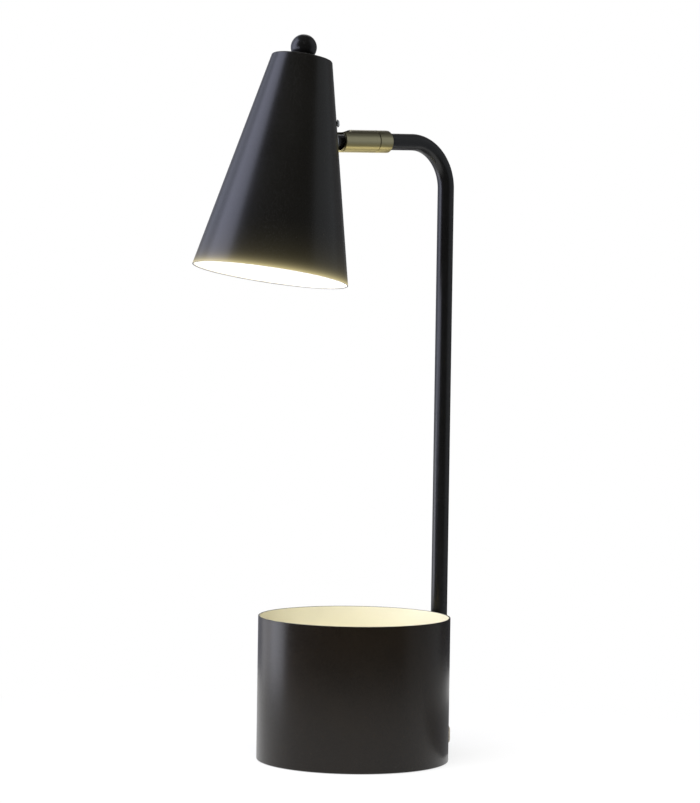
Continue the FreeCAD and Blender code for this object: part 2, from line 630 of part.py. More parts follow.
def make_base():
    """Cast weight on a steel plate, three screws from below, and the foot pad."""
    weight = turned("base_weight", [
        ("0", "plate_top"),
        ("weight_radius - weight_chamfer", "plate_top"),
        ("weight_radius", "plate_top + weight_chamfer"),
        ("weight_radius", "floor_base - weight_chamfer"),
        ("weight_radius - weight_chamfer", "floor_base"),
        ("0", "floor_base"),
    ])
    hole = drill(weight, "weight_hole", "base_screw_radius", "base_screw_length + overrun",
                 at(x="base_screw_circle", z="plate_top - overrun"))
    around(weight, hole, "weight_holes", "base_screw_count")
    plate = turned("base_plate", [
        ("0", "plate_base"),
        ("pot_bore - plate_gap", "plate_base"),
        ("pot_bore - plate_gap", "plate_top"),
        ("0", "plate_top"),
    ])
    hole = drill(plate, "plate_hole", "base_screw_radius", "plate_thickness + 2 * overrun",
                 at(x="base_screw_circle", z="plate_base - overrun"))
    around(plate, hole, "plate_holes", "base_screw_count")
    pad = turned("foot_pad", [
        ("0", "0"),
        ("pad_radius", "0"),
        ("pad_radius", "pad_thickness"),
        ("0", "pad_thickness"),
    ])
    hole = drill(pad, "pad_screw_hole", "pad_hole", "pad_thickness + 2 * overrun",
                 at(x="base_screw_circle", z="-overrun"))
    around(pad, hole, "pad_screw_holes", "base_screw_count")
    screw = hidden_turned("base_screw", [
        ("0", "-base_head_height"),
        ("base_head_radius", "-base_head_height"),
        ("base_head_radius", "0"),
        ("base_shank", "0"),
        ("base_shank", "base_screw_length - thread_gap"),
        ("0", "base_screw_length - thread_gap"),
    ])
    shape_body(screw, "SubtractivePrism", "base_screw_socket", at(z="-base_head_height"),
               Circumradius="base_socket_radius", Height="base_socket_depth")
    count = int(number(screw, "base_screw_count"))
    places = [at(turn="360 * {} / base_screw_count".format(index)) + " * "
              + at(x="base_screw_circle", z="plate_base") for index in range(count)]
    copies("base_screws", screw, places)


def pole_path(start, end):
    """The pole's centre line: up, round the bend, and along the arm."""
    return [
        ("pole_reach", start),
        ("pole_reach", "bend_level", "bend_radius", "left"),
        ("pole_reach - bend_reach * cos(arm_lean)", "arm_height - bend_reach * sin(arm_lean)"),
        ("pole_reach - ({}) * cos(arm_lean)".format(end), "arm_height - ({}) * sin(arm_lean)".format(end)),
    ]


def make_pole():
    """Bent tube with holes for its inserts and its cord bushing, and a plug in its foot."""
    pole = piped("pole", pole_path("pole_foot", "arm_end"), "pole_reach", ["pole_radius", "pole_bore"],
                 "pole_foot")
    for name, level in (("low", "pole_screw_low"), ("high", "pole_screw_high")):
        drill(pole, "insert_hole_" + name, "insert_radius", "pole_radius + overrun",
              along_x("pole_face - overrun", level))
    drill(pole, "bushing_hole", "bushing_neck", "pole_radius + overrun", along_x("pole_reach", "bushing_level"))
    turned("pole_plug", [
        ("0", "pole_foot - plug_flange"),
        ("pole_radius", "pole_foot - plug_flange"),
        ("pole_radius", "pole_foot"),
        ("pole_bore - thread_gap", "pole_foot"),
        ("pole_bore - thread_gap", "pole_foot + plug_depth"),
        ("0", "pole_foot + plug_depth"),
    ], at(x="pole_reach"))


def make_pole_fixing():
    """Spacers between pot and pole, threaded inserts in the pole, screws and washers."""
    levels = ("pole_screw_low", "pole_screw_high")
    blank = solid("Cylinder", "spacer_blank", along_x("pot_bore", "0"), Radius="spacer_radius",
                  Height="pole_reach - pot_bore")
    tall = "4 * spacer_radius"
    pot_side = solid("Cylinder", "spacer_pot_side", at(z="-2 * spacer_radius"), Radius="pot_radius",
                     Height=tall)
    pole_side = solid("Cylinder", "spacer_pole_side", at(x="pole_reach", z="-2 * spacer_radius"),
                      Radius="pole_radius", Height=tall)
    bore = solid("Cylinder", "spacer_bore", along_x("pot_bore - overrun", "0"), Radius="pole_screw_hole",
                 Height="pole_reach")
    spacer = cut("spacer", blank, pot_side, pole_side, bore)
    copies("pole_spacers", spacer, [at(z=level) for level in levels])
    blank = solid("Cylinder", "insert_blank", along_x("pole_face - overrun", "0"), Radius="insert_radius",
                  Height="insert_depth + overrun")
    tube = solid("Cylinder", "insert_tube", at(x="pole_reach", z="-2 * spacer_radius"),
                 Radius="pole_radius", Height=tall)
    bore = solid("Cylinder", "insert_bore", along_x("pole_face - 2 * overrun", "0"),
                 Radius="pole_screw_radius", Height="insert_depth + 4 * overrun")
    insert = cut("insert", common("insert_body", blank, tube), bore)
    copies("pole_inserts", insert, [at(z=level) for level in levels])
    screw = hidden_turned("pole_screw", [
        ("0", "-pole_head_height"),
        ("pole_head_radius / 2", "-pole_head_height"),
        ("pole_head_radius", "-pole_head_height / 2"),
        ("pole_head_radius", "0"),
        ("pole_shank", "0"),
        ("pole_shank", "pole_face + insert_depth - head_face"),
        ("0", "pole_face + insert_depth - head_face"),
    ])
    shape_body(screw, "SubtractivePrism", "pole_screw_socket", at(z="-pole_head_height"),
               Circumradius="pole_socket_radius", Height="pole_socket_depth")
    copies("pole_screws", screw, [along_x("head_face", level) for level in levels])
    washer = hidden_turned("pole_washer", [
        ("pole_screw_hole", "0"),
        ("washer_radius", "0"),
        ("washer_radius", "washer_thickness"),
        ("pole_screw_hole", "washer_thickness"),
    ])
    copies("pole_washers", washer, [along_x("head_face", level) for level in levels])


def make_bushing():
    """Oval cord bushing low on the far side of the pole, its collar fitted to the tube."""
    reach = "pole_radius + bushing_stand"
    low = "bushing_level - bushing_rise"
    ends = [solid("Cylinder", "bushing_end_" + name, along_x("pole_reach", level), Radius="bushing_radius",
                  Height=reach) for name, level in (("low", low), ("high", "bushing_level + bushing_rise"))]
    middle = solid("Box", "bushing_middle", at(x="pole_reach", y="-bushing_radius", z=low), Length=reach,
                   Width="2 * bushing_radius", Height="2 * bushing_rise")
    collar = doc.addObject("Part::MultiFuse", "bushing_collar")
    collar.Shapes = ends + [middle]
    collar.Refine = True
    tube = solid("Cylinder", "bushing_tube", at(x="pole_reach"), Radius="pole_radius",
                 Height="2 * bushing_level")
    neck = solid("Cylinder", "bushing_shank",
                 along_x("pole_reach + pole_bore - bushing_inside", "bushing_level"),
                 Radius="bushing_neck", Height="bushing_inside + pole_wall")
    bore = solid("Cylinder", "bushing_hollow", along_x("pole_reach", "bushing_level"),
                 Radius="bushing_bore", Height="2 * pole_radius + bushing_stand")
    whole = doc.addObject("Part::MultiFuse", "bushing_whole")
    whole.Shapes = [cut("bushing_outside", collar, tube), neck]
    keep(cut("bushing", whole, bore), "cord_bushing")


def make_pole_leads():
    """Two insulated leads inside the pole, from its foot to the joint."""
    lead = piped("pole_lead", pole_path("lead_foot", "spigot_end - face_gap"), "pole_reach",
                 ["lead_radius"], "lead_foot", hidden=True)
    copies("pole_leads", lead, [at(y="lead_spread"), at(y="-lead_spread")])


def make_joint_collar():
    """Threaded nipple in the arm's end, and the collar with the spigot that the sleeve turns on."""
    ring("arm_nipple", "nipple_bore", "arm_nipple_radius", "arm_end - nipple_in_arm", "collar_end", ARM)
    turned("joint_collar", [
        ("pole_bore", "arm_end"),
        ("collar_tip_radius", "arm_end"),
        ("joint_radius", "arm_end + collar_taper"),
        ("joint_radius", "joint_seam - seam_chamfer"),
        ("joint_radius - seam_chamfer", "joint_seam"),
        ("spigot_radius", "joint_seam"),
        ("spigot_radius", "ring_low - face_gap"),
        ("ring_inner - face_gap", "ring_low - face_gap"),
        ("ring_inner - face_gap", "ring_high + face_gap"),
        ("spigot_radius", "ring_high + face_gap"),
        ("spigot_radius", "spigot_end"),
        ("nipple_bore", "spigot_end"),
        ("nipple_bore", "collar_end"),
        ("pole_bore", "collar_end"),
    ], ARM)


def make_joint_sleeve():
    """Slotted sleeve with a spherical lip in front of the ball, its ring, spring and seat."""
    sleeve = turned("joint_sleeve", [
        ("seat_sphere", "sleeve_start"),
        ("joint_radius - seam_chamfer", "sleeve_start"),
        ("joint_radius", "sleeve_start + seam_chamfer"),
        ("joint_radius", "sleeve_end - sleeve_end_chamfer"),
        ("joint_radius - sleeve_end_chamfer", "sleeve_end"),
        ("mouth_radius", "sleeve_end"),
        ("lip_radius", "lip_place", "seat_sphere", "right"),
        ("seat_sphere", "ball_reach"),
        ("seat_sphere", "ring_high"),
        ("seat_sphere + ring_bite", "ring_high"),
        ("seat_sphere + ring_bite", "ring_low"),
        ("seat_sphere", "ring_low"),
    ], ARM)
    shape_body(sleeve, "SubtractiveBox", "slot_run", at(y="-slot_width / 2", z="slot_middle"),
               Length="joint_radius + overrun", Width="slot_width",
               Height="sleeve_end - slot_middle + overrun")
    drill(sleeve, "slot_end", "slot_width / 2", "joint_radius + overrun",
          along_x("0", "slot_middle"))
    snap = ring("snap_ring", "ring_inner", "ring_outer", "ring_low", "ring_high", ARM)
    shape_body(snap, "SubtractiveBox", "snap_opening", at(y="-ring_opening / 2", z="ring_low - overrun"),
               Length="joint_radius", Width="ring_opening", Height="ring_thickness + 2 * overrun")
    turned("ball_spring", [
        ("spring_bore", "spring_low"),
        ("spring_outer", "spring_low + spring_rise"),
        ("spring_outer", "spring_low + spring_rise + spring_thickness"),
        ("spring_bore", "spring_low + spring_thickness"),
    ], ARM)
    turned("ball_seat", [
        ("seat_bore", "seat_low"),
        ("spring_outer", "seat_low"),
        ("spring_outer", "seat_high"),
        ("seat_rim", "seat_high", "seat_sphere", "right"),
        ("seat_bore", "ball_reach - sqrt(seat_sphere ^ 2 - seat_bore ^ 2)"),
    ], ARM)


def make_ball_and_stem():
    """Bored ball, the hollow stem in it, and what clamps the stem to the shade's wall."""
    turned("joint_ball", [
        ("nipple_bore", "-sqrt(ball_radius ^ 2 - nipple_bore ^ 2)", "ball_radius", "left"),
        ("stem_radius + stem_fit", "sqrt(ball_radius ^ 2 - (stem_radius + stem_fit) ^ 2)"),
        ("stem_radius + stem_fit", "-stem_root - face_gap"),
        ("nipple_bore", "-stem_root - face_gap"),
    ], STEM)
    ring("joint_stem", "nipple_bore", "stem_radius", "-stem_root", "stem_end", STEM)
    hex_nut("stem_nut", "stem_nut_radius", "stem_nut_height", "stem_radius", at(z="stem_nut_low"), STEM)
    hex_nut("stem_inner_nut", "stem_nut_radius", "stem_nut_height", "stem_radius",
            at(z="inner_nut_low"), STEM)


def cone_solid(name, mouth):
    """The shade's cone as a plain solid with the given mouth radius."""
    return solid("Cone", name, at(), Radius1=mouth, Radius2=mouth + " - shade_height * slope",
                 Height="shade_height")


def make_saddles():
    """Saddle washers on the stem, one fitted to the shade's outside, one to the bracket's inside."""
    deep = "saddle_thickness + saddle_radius"
    outer = solid("Cylinder", "outer_saddle_blank", STEM_IN_SHADE + " * " + at(z="stem_seat"),
                  Radius="saddle_radius", Height=deep)
    bore = solid("Cylinder", "outer_saddle_bore", STEM_IN_SHADE, Radius="stem_radius",
                 Height="stem_reach + saddle_radius")
    saddle = keep(cut("outer_saddle", outer, bore, cone_solid("outer_cone", "shade_mouth")),
                  "stem_saddle")
    bind(saddle, Placement=SHADE)
    inner = solid("Cylinder", "inner_saddle_blank",
                  STEM_IN_SHADE + " * " + at(z="inner_nut_low - ({})".format(deep)),
                  Radius="saddle_radius", Height=deep)
    bore = solid("Cylinder", "inner_saddle_bore", STEM_IN_SHADE, Radius="stem_radius",
                 Height="stem_end")
    inside = cone_solid("inner_cone", "shade_mouth - lining_across - sheet_across")
    washer = keep(cut("inner_saddle", common("inner_saddle_body", inner, inside), bore),
                  "stem_inner_saddle")
    bind(washer, Placement=SHADE)


def make_shade():
    """Cone shade with a closed top, its ball finial and the finial's screw."""
    shade = turned("shade_shell", [
        ("mouth_bore", "0"),
        ("shade_mouth", "0"),
        ("round_middle + shade_round * cos(half_angle)",
         "round_level + shade_round * sin(half_angle)", "shade_round", "left"),
        ("round_middle", "shade_height"),
        ("finial_screw_radius", "shade_height"),
        ("finial_screw_radius", "top_under"),
        ("round_middle", "top_under", "inner_round", "right"),
        ("round_middle + inner_round * cos(half_angle)", "round_level + inner_round * sin(half_angle)"),
    ], SHADE)
    drill(shade, "stem_opening", "stem_hole", "2 * overrun + shade_wall",
          STEM_IN_SHADE + " * " + at(z="stem_reach - overrun"))
    for side in ("-", ""):
        drill(shade, "screw_opening", "bracket_screw_radius", "2 * overrun + shade_wall",
              at(turn=side + "bracket_screw_angle") + " * " + SCREW_IN_SHADE + " * " + at(z="-overrun"))
    turned("finial", [
        ("finial_screw_radius", "shade_height"),
        ("finial_flat", "shade_height", "finial_radius", "left"),
        ("0", "shade_height + finial_rise + finial_radius"),
        ("0", "shade_height + finial_tap"),
        ("finial_screw_radius", "shade_height + finial_tap"),
    ], SHADE)
    turned("finial_screw", [
        ("0", "top_under - finial_head_height"),
        ("finial_head_radius", "top_under - finial_head_height"),
        ("finial_head_radius", "top_under"),
        ("finial_shank", "top_under"),
        ("finial_shank", "top_under + finial_screw_length"),
        ("0", "top_under + finial_screw_length"),
    ], SHADE)


def make_bracket():
    """Sheet bracket: a saddle on the shade's wall and a shelf that carries the lampholder."""
    wall = "({} - lining_across)"
    low = wall.format(wall_line("bracket_low"))
    high = wall.format(wall_line("shelf_top"))
    corner = wall.format(wall_line("shelf_level"))
    bracket = turned("holder_bracket", [
        (low + " - sheet_across", "bracket_low"),
        (low, "bracket_low"),
        (high, "shelf_top"),
        ("0", "shelf_top"),
        ("0", "shelf_level"),
        (corner + " - sheet_across", "shelf_level"),
    ], SHADE, sweep="bracket_angle")
    shape_body(bracket, "AdditiveCylinder", "shelf_middle", at(z="shelf_level"), Radius="shelf_disc",
               Height="bracket_sheet")
    drill(bracket, "shelf_hole", "nipple_hold", "bracket_sheet + 2 * overrun",
          at(z="shelf_level - overrun"))
    drill(bracket, "shelf_lead_hole", "lead_hole", "bracket_sheet + 2 * overrun",
          at(x="lead_riser", z="shelf_level - overrun"))
    drill(bracket, "saddle_hole", "stem_hole", "2 * overrun + shade_wall + bracket_sheet",
          STEM_IN_SHADE + " * " + at(z="stem_reach - overrun"))
    for side in ("-", ""):
        drill(bracket, "saddle_screw_hole", "bracket_screw_radius",
              "2 * overrun + shade_wall + bracket_sheet",
              at(turn=side + "bracket_screw_angle") + " * " + SCREW_IN_SHADE + " * " + at(z="-overrun"))
    screw = hidden_turned("bracket_screw", [
        ("0", "-bracket_head_height", "bracket_head_dome", "left"),
        ("bracket_head_radius", "0"),
        ("bracket_shank", "0"),
        ("bracket_shank", "bracket_screw_length"),
        ("0", "bracket_screw_length"),
    ])
    places = [at(turn=side + "bracket_screw_angle") + " * " + SCREW_IN_SHADE for side in ("-", "")]
    copies("bracket_screws", screw, places, SHADE)
    nut = hex_nut("bracket_nut", "bracket_nut_radius", "bracket_nut_height", "bracket_screw_radius",
                  at(z="bracket_nut_face"))
    kept.remove(nut)
    copies("bracket_nuts", nut, places, SHADE)


def make_lampholder():
    """Nipple and lock nut in the shelf, and the lampholder that hangs on them."""
    ring("holder_nipple", "nipple_bore", "nipple_radius", "shelf_level - cap_neck",
         "nut_top + nipple_above_nut", SHADE)
    hex_nut("holder_nut", "holder_nut_radius", "holder_nut_height", "nipple_hold", at(z="shelf_top"),
            SHADE)
    turned("lampholder_cap", [
        ("holder_bore", "cap_low"),
        ("holder_radius", "cap_low"),
        ("holder_radius", "cap_low + cap_shoulder"),
        ("cap_top_radius", "shelf_level"),
        ("nipple_hold", "shelf_level"),
        ("nipple_hold", "shelf_level - cap_neck"),
        ("nipple_hold + cap_neck_wall", "shelf_level - cap_neck"),
        ("nipple_hold + cap_neck_wall", "shelf_level - holder_wall"),
        ("cap_top_radius - holder_wall", "shelf_level - holder_wall"),
        ("holder_bore", "cap_low + cap_shoulder"),
    ], SHADE)
    turned("lampholder_skirt", [
        ("holder_bore", "skirt_low"),
        ("holder_radius", "skirt_low"),
        ("holder_radius", "cap_low"),
        ("thread_radius", "cap_low"),
        ("thread_radius", "skirt_top"),
        ("core_radius", "skirt_top"),
        ("core_radius", "core_low"),
        ("core_bore", "core_low"),
        ("core_bore", "core_low - core_ledge"),
        ("holder_bore", "core_low - core_ledge"),
    ], SHADE)
    core = turned("lampholder_core", [
        ("0", "core_low"),
        ("core_radius", "core_low"),
        ("core_radius", "skirt_top"),
        ("0", "skirt_top"),
    ], SHADE)
    for name, side in (("front", ""), ("back", "-")):
        drill(core, "core_channel_" + name, "2 * lead_radius", "core_height / 2 + overrun",
              at(y=side + "core_radius / 2", z="core_low + core_height / 2"))
    ring("lampholder_shell", "socket_radius", "socket_outer", "socket_low", "core_low", SHADE)
    turned("lampholder_contact", [
        ("0", "contact_low"),
        ("contact_dome_radius / 2", "contact_low"),
        ("contact_dome_radius", "core_low - contact_plate"),
        ("contact_radius", "core_low - contact_plate"),
        ("contact_radius", "core_low"),
        ("0", "core_low"),
    ], SHADE)


def make_bulb():
    """Screw-cap bulb: cap, end contact, housing, emitter board and opal globe."""
    turned("bulb_cap", [
        ("bulb_neck_radius", "bulb_cap_low"),
        ("bulb_cap_radius", "bulb_cap_low"),
        ("bulb_cap_radius", "cap_shoulder_level"),
        ("bulb_insulator_radius", "cap_tip"),
        ("0", "cap_tip"),
        ("0", "cap_tip - bulb_cap_sheet"),
        ("bulb_insulator_radius", "cap_tip - bulb_cap_sheet"),
        ("bulb_neck_radius", "cap_shoulder_level"),
    ], SHADE)
    turned("bulb_contact", [
        ("0", "cap_tip"),
        ("bulb_contact_radius", "cap_tip"),
        ("bulb_contact_radius / 2", "contact_low"),
        ("0", "contact_low"),
    ], SHADE)
    turned("bulb_housing", [
        ("0", "housing_low"),
        ("globe_mouth", "housing_low"),
        ("housing_neck", "bulb_cap_low"),
        ("bulb_neck_radius", "bulb_cap_low"),
        ("bulb_neck_radius", "cap_shoulder_level"),
        ("0", "cap_shoulder_level"),
    ], SHADE)
    turned("led_board", [
        ("0", "housing_low - led_board_thickness"),
        ("led_board_radius", "housing_low - led_board_thickness"),
        ("led_board_radius", "housing_low"),
        ("0", "housing_low"),
    ], SHADE)
    turned("bulb_globe", [
        ("0", "globe_middle - globe_radius", "globe_radius", "left"),
        ("globe_mouth", "housing_low"),
        ("globe_inner_mouth", "housing_low", "globe_inner", "right"),
        ("0", "globe_middle - globe_inner"),
    ], SHADE)


def make_lampholder_leads():
    """Two leads that leave the stem, rise through the shelf and drop into the lampholder."""
    lead = piped("lampholder_lead", [
        ("0", "lead_end_level"),
        ("0", "lead_top - lead_top_bend", "lead_top_bend", "right"),
        ("lead_top_bend", "lead_top"),
        ("lead_riser - lead_top_bend", "lead_top", "lead_top_bend", "right"),
        ("lead_riser", "lead_top - lead_top_bend"),
        ("lead_riser", "lead_stem_level + lead_low_reach", "lead_low_bend", "left"),
        ("lead_riser + lead_low_reach * cos(half_angle)",
         "lead_stem_level + lead_low_reach * sin(half_angle)"),
        ("lead_start_out", "lead_start_up"),
    ], "0", ["lead_radius"], "lead_end_level", hidden=True)
    copies("lampholder_leads", lead, [at(y="lead_spread"), at(y="-lead_spread")], SHADE)


def write_parts():
    """Check every object and write each kept piece to its own file."""
    doc.recompute()
    for item in doc.Objects:
        if "Invalid" in item.State or "Error" in item.State:
            raise RuntimeError("{} failed: {}".format(item.Label, item.State))
        if item.TypeId == "Sketcher::SketchObject" and item.solve() != 0:
            raise RuntimeError("{} is not solved".format(item.Label))
    os.makedirs("parts", exist_ok=True)
    for item in kept:
        shape = item.Shape
        if shape.isNull() or not shape.isValid() or not shape.Solids:
            raise RuntimeError("{} has no valid solid".format(item.Label))
        shape.exportStep("parts/{}.step".format(item.Label))
        box = shape.BoundBox
        print("{:20s} {:2d} solids {:11.1f} mm3  x {:7.1f} {:7.1f}  y {:6.1f} {:6.1f}  z {:6.1f} {:6.1f}".format(
            item.Label, len(shape.Solids), shape.Volume, box.XMin, box.XMax, box.YMin, box.YMax,
            box.ZMin, box.ZMax))


make_sheet()
make_pot()
make_base()
make_pole()
make_pole_fixing()
make_bushing()
make_pole_leads()
make_joint_collar()
make_joint_sleeve()
make_ball_and_stem()
make_saddles()
make_shade()
make_bracket()
make_lampholder()
make_bulb()
make_lampholder_leads()
write_parts()
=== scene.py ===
import math

import bmesh
import bpy
import numpy as np
from mathutils import Matrix, Vector


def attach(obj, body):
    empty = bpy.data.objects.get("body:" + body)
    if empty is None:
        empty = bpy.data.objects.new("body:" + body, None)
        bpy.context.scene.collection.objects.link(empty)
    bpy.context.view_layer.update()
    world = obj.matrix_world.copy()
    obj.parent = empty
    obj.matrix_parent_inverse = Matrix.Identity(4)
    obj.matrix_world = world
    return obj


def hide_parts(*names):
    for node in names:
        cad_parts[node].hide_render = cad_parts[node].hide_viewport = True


bl_info = {
    "name": "Desk lamp on a pen pot",
    "version": (1, 0, 0),
    "blender": (4, 5, 0),
    "location": "3D View > Sidebar > Lamp",
    "description": "Builds the lamp's pot, pole, ball joint, shade, lampholder and bulb",
    "category": "Add Mesh",
}

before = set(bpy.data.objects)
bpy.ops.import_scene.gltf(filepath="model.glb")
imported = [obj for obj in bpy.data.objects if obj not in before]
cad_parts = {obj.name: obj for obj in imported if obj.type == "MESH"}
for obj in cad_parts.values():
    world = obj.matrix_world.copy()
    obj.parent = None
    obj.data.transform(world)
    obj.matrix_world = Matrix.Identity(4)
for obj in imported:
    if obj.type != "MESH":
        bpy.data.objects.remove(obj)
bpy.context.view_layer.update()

MM = 0.001


# Where the arm, the stem, the shade and its screws stand, in millimetres and radians

POLE_X, CORNER_Z = 88.0, 484.1  # the corner where the pole's and the arm's axes meet
ARM_LEAN = math.radians(1.5)
ARM_END = 61.6  # the tube's end, from the corner
BEND = 35.8
BEND_REACH = BEND * math.tan(math.pi / 4 + ARM_LEAN / 2)
BALL_REACH = 100.0  # the ball's centre, from the corner
BALL_X = POLE_X - BALL_REACH * math.cos(ARM_LEAN)
BALL_Z = CORNER_Z - BALL_REACH * math.sin(ARM_LEAN)
LEAN = math.radians(9.64)
MOUTH, TOP, HEIGHT = 59.7, 23.2, 168.4
SLOPE = (MOUTH - TOP) / HEIGHT
HALF = math.atan(SLOPE)
STEM_LEVEL, STEM_REACH = 110.9, 22.6
STEM_WALL = MOUTH - STEM_LEVEL * SLOPE
BALL_OUT = STEM_WALL + STEM_REACH * math.cos(HALF)
BALL_UP = STEM_LEVEL + STEM_REACH * math.sin(HALF)
SHADE_X = BALL_X - BALL_OUT * math.cos(LEAN) - BALL_UP * math.sin(LEAN)
SHADE_Z = BALL_Z + BALL_OUT * math.sin(LEAN) - BALL_UP * math.cos(LEAN)
SCREW_LEVEL, SCREW_TURN = 122.0, math.radians(40)


def shift(x, y, z):
    """A move in millimetres."""
    return Matrix.Translation((x * MM, y * MM, z * MM))


def tip(angle, axis="Y"):
    """A turn about an axis, in radians."""
    return Matrix.Rotation(angle, 4, axis)


WORLD = Matrix.Identity(4)
ARM = shift(POLE_X, 0, CORNER_Z) @ tip(-math.pi / 2 - ARM_LEAN)
STEM = shift(BALL_X, 0, BALL_Z) @ tip(LEAN - HALF - math.pi / 2)
SHADE = shift(SHADE_X, 0, SHADE_Z) @ tip(LEAN)


def shade_screw(side):
    """The frame of one bracket screw: on the shade's wall, with Z into the shade."""
    wall = shift(MOUTH - SCREW_LEVEL * SLOPE, 0, SCREW_LEVEL) @ tip(-math.pi / 2 - HALF)
    return SHADE @ tip(side * SCREW_TURN, "Z") @ wall


# Sizes and colours

JOINT_RADIUS = 8.75
BORE = 3.2  # the hole for the leads through collar, ball and stem
THREAD = 5.0  # the stem's and the nipples' outside radius


def length(name, description, default):
    """A length property, with its default in millimetres."""
    return bpy.props.FloatProperty(name=name, description=description, default=default * MM,
                                   unit="LENGTH", subtype="DISTANCE")


def colour(name, description, default):
    """A linear colour property."""
    return bpy.props.FloatVectorProperty(name=name, description=description, default=default,
                                         subtype="COLOR", size=3, min=0.0, max=1.0)


class LampSizes(bpy.types.PropertyGroup):
    """Sizes of the lamp that a user would change."""
    pot_radius: length("Pot radius", "Outside radius of the pot", 75)
    pot_wall: length("Pot wall", "Sheet thickness of the pot", 1.2)
    pot_height: length("Pot height", "Top of the pot above the desk", 112.5)
    pole_radius: length("Pole radius", "Outside radius of the bent tube", 6.5)
    pole_wall: length("Pole wall", "Wall of the bent tube", 1.5)
    joint_radius: length("Joint radius", "Outside radius of the brass joint", JOINT_RADIUS)
    ball_radius: length("Ball radius", "Radius of the ball in the joint", 7.3)
    shade_mouth: length("Shade mouth", "Outside radius of the shade's open end", MOUTH)
    shade_top: length("Shade top", "Outside radius of the shade's closed end", TOP)
    shade_height: length("Shade height", "Height of the shade along its axis", HEIGHT)
    shade_wall: length("Shade wall", "Sheet thickness of the shade", 0.8)
    finial_radius: length("Finial radius", "Radius of the ball on top of the shade", 10)
    thread_pitch: length("Stem thread pitch", "Pitch of the thread on stem and nipple", 1)


class LampColours(bpy.types.PropertyGroup):
    """Colours of the lamp that a user would change."""
    coat: colour("Powder coat", "Black coat on pole and shade", (0.0030, 0.0029, 0.0028))
    # painted warm light: the pot's coat is browner and lighter than the shade's, for light bounced
    # from the desk
    pot_coat: colour("Pot coat", "Browner black coat on the pot", (0.0068, 0.0044, 0.0022))
    pot_lining: colour("Pot lining", "Cream paint inside the pot", (0.86, 0.815, 0.62))
    shade_lining: colour("Shade lining", "White paint inside the shade", (0.92, 0.90, 0.84))
    # painted glow: lamplight painted on the shade's coat just above its mouth
    painted_edge_glow: colour("Edge glow", "Lamplight that creeps over the mouth", (1.0, 0.85, 0.42))
    brass: colour("Brass", "Satin brass of the joint", (0.68, 0.565, 0.235))
    # painted shade: the darker brass that the joint's upper side is painted with
    brass_dark: colour("Olive brass", "Toned brass on the joint's upper side", (0.58, 0.53, 0.325))
    plating: colour("Plating", "Zinc and nickel plating", (0.42, 0.42, 0.43))
    lamplight: colour("Lamplight", "Colour of the lit bulb", (1.0, 0.93, 0.82))


def sizes():
    """The sizes in millimetres, by name."""
    group = bpy.context.scene.lamp_sizes
    return {key: getattr(group, key) / MM for key in LampSizes.__annotations__}


def colours():
    """The colours by name."""
    group = bpy.context.scene.lamp_colours
    return {key: tuple(getattr(group, key)) for key in LampColours.__annotations__}


# Outlines and grids of points, in millimetres

def eased(rows, steps=5, closed=True):
    """Round the corners of an outline. Each row is a corner P and its reach. The corner becomes
    the curve (1-t)^2 A + 2 t (1-t) P + t^2 B, where A lies the reach before P and B the reach
    after it. An open outline's ends stay."""
    rows = np.asarray(rows, float)
    p, reach = rows[:, :2], rows[:, 2:]
    ends = []
    for step in (1, -1):
        way = np.roll(p, step, axis=0) - p
        way /= np.maximum(np.linalg.norm(way, axis=1, keepdims=True), 1e-12)
        if not closed:
            way[[0, -1]] = 0.0
        ends.append((p + way * reach)[:, None, :])
    t = np.linspace(0, 1, steps)[None, :, None]
    curve = (1 - t) ** 2 * ends[0] + 2 * t * (1 - t) * p[:, None, :] + t ** 2 * ends[1]
    return curve.reshape(-1, 2)


def arc(centre, radius, first, last, steps):
    """Points of a circle: centre + radius (cos a, sin a) for a from first to last, in degrees."""
    a = np.radians(np.linspace(first, last, steps))
    return np.stack([centre[0] + radius * np.cos(a), centre[1] + radius * np.sin(a)], axis=1)


def ring(columns):
    """The angles of a closed ring's columns, one below the other."""
    return np.linspace(0, 2 * math.pi, columns, endpoint=False)[:, None]


def around(r, z, a):
    """The grid of points (r cos a, r sin a, z), from arrays that fit each other."""
    return np.stack([r * np.cos(a), r * np.sin(a), z + 0 * a], axis=2)


def spun(outline, columns):
    """The grid of a turned surface: point (i, j) is (r_j cos a_i, r_j sin a_i, z_j)."""
    o = np.asarray(outline, float)[None]
    return around(o[..., 0], o[..., 1], ring(columns))


def threaded(radius, depth, pitch, low, high, columns=64, per_turn=8):
    """A threaded surface: r = radius - depth (1 - cos(2 pi z / pitch - a)) / 2, where a is the
    angle round the axis. At both ends it runs out to the thread's root over one pitch."""
    z = np.linspace(low, high, int(round((high - low) / pitch * per_turn)) + 1)[None, :]
    a = ring(columns)
    wave = (1 - np.cos(2 * math.pi * (z / pitch) - a)) / 2
    ends = np.clip(np.minimum(z - low, high - z) / pitch, 0, 1)
    return around(radius - depth * (1 - (1 - wave) * ends), z, a)


def hexagon_wall(angle, corner):
    """Radius of a hexagon's wall at an angle: corner cos 30 / cos(angle mod 60 - 30)."""
    return corner * math.cos(math.pi / 6) / np.cos(np.mod(angle, math.pi / 3) - math.pi / 6)


def hexagon(corner, height, bore, base, columns=96, bevel=0.45):
    """A hexagon nut as one closed grid. A row's radius is the smaller of the hexagon's and a
    cone's. `half` gives each row's distance from the nut's face and how much the cone grows."""
    a = ring(columns)
    half = np.array([(0.25, 0), (0, 0), (0, 0), (0.12, 0.2), (0.3, 0.5), (bevel, 2)])
    z = np.concatenate([half[:, 0], height - half[::-1, 0]])[None, :]
    grow = np.concatenate([half[:, 1], half[::-1, 1]])[None, :]
    r = np.minimum(hexagon_wall(a, corner), corner * math.cos(math.pi / 6) + 0.1 + grow)
    r[:, [0, -1]] = bore
    r[:, [1, -2]] = bore + 0.3
    return around(r, base + z, a)


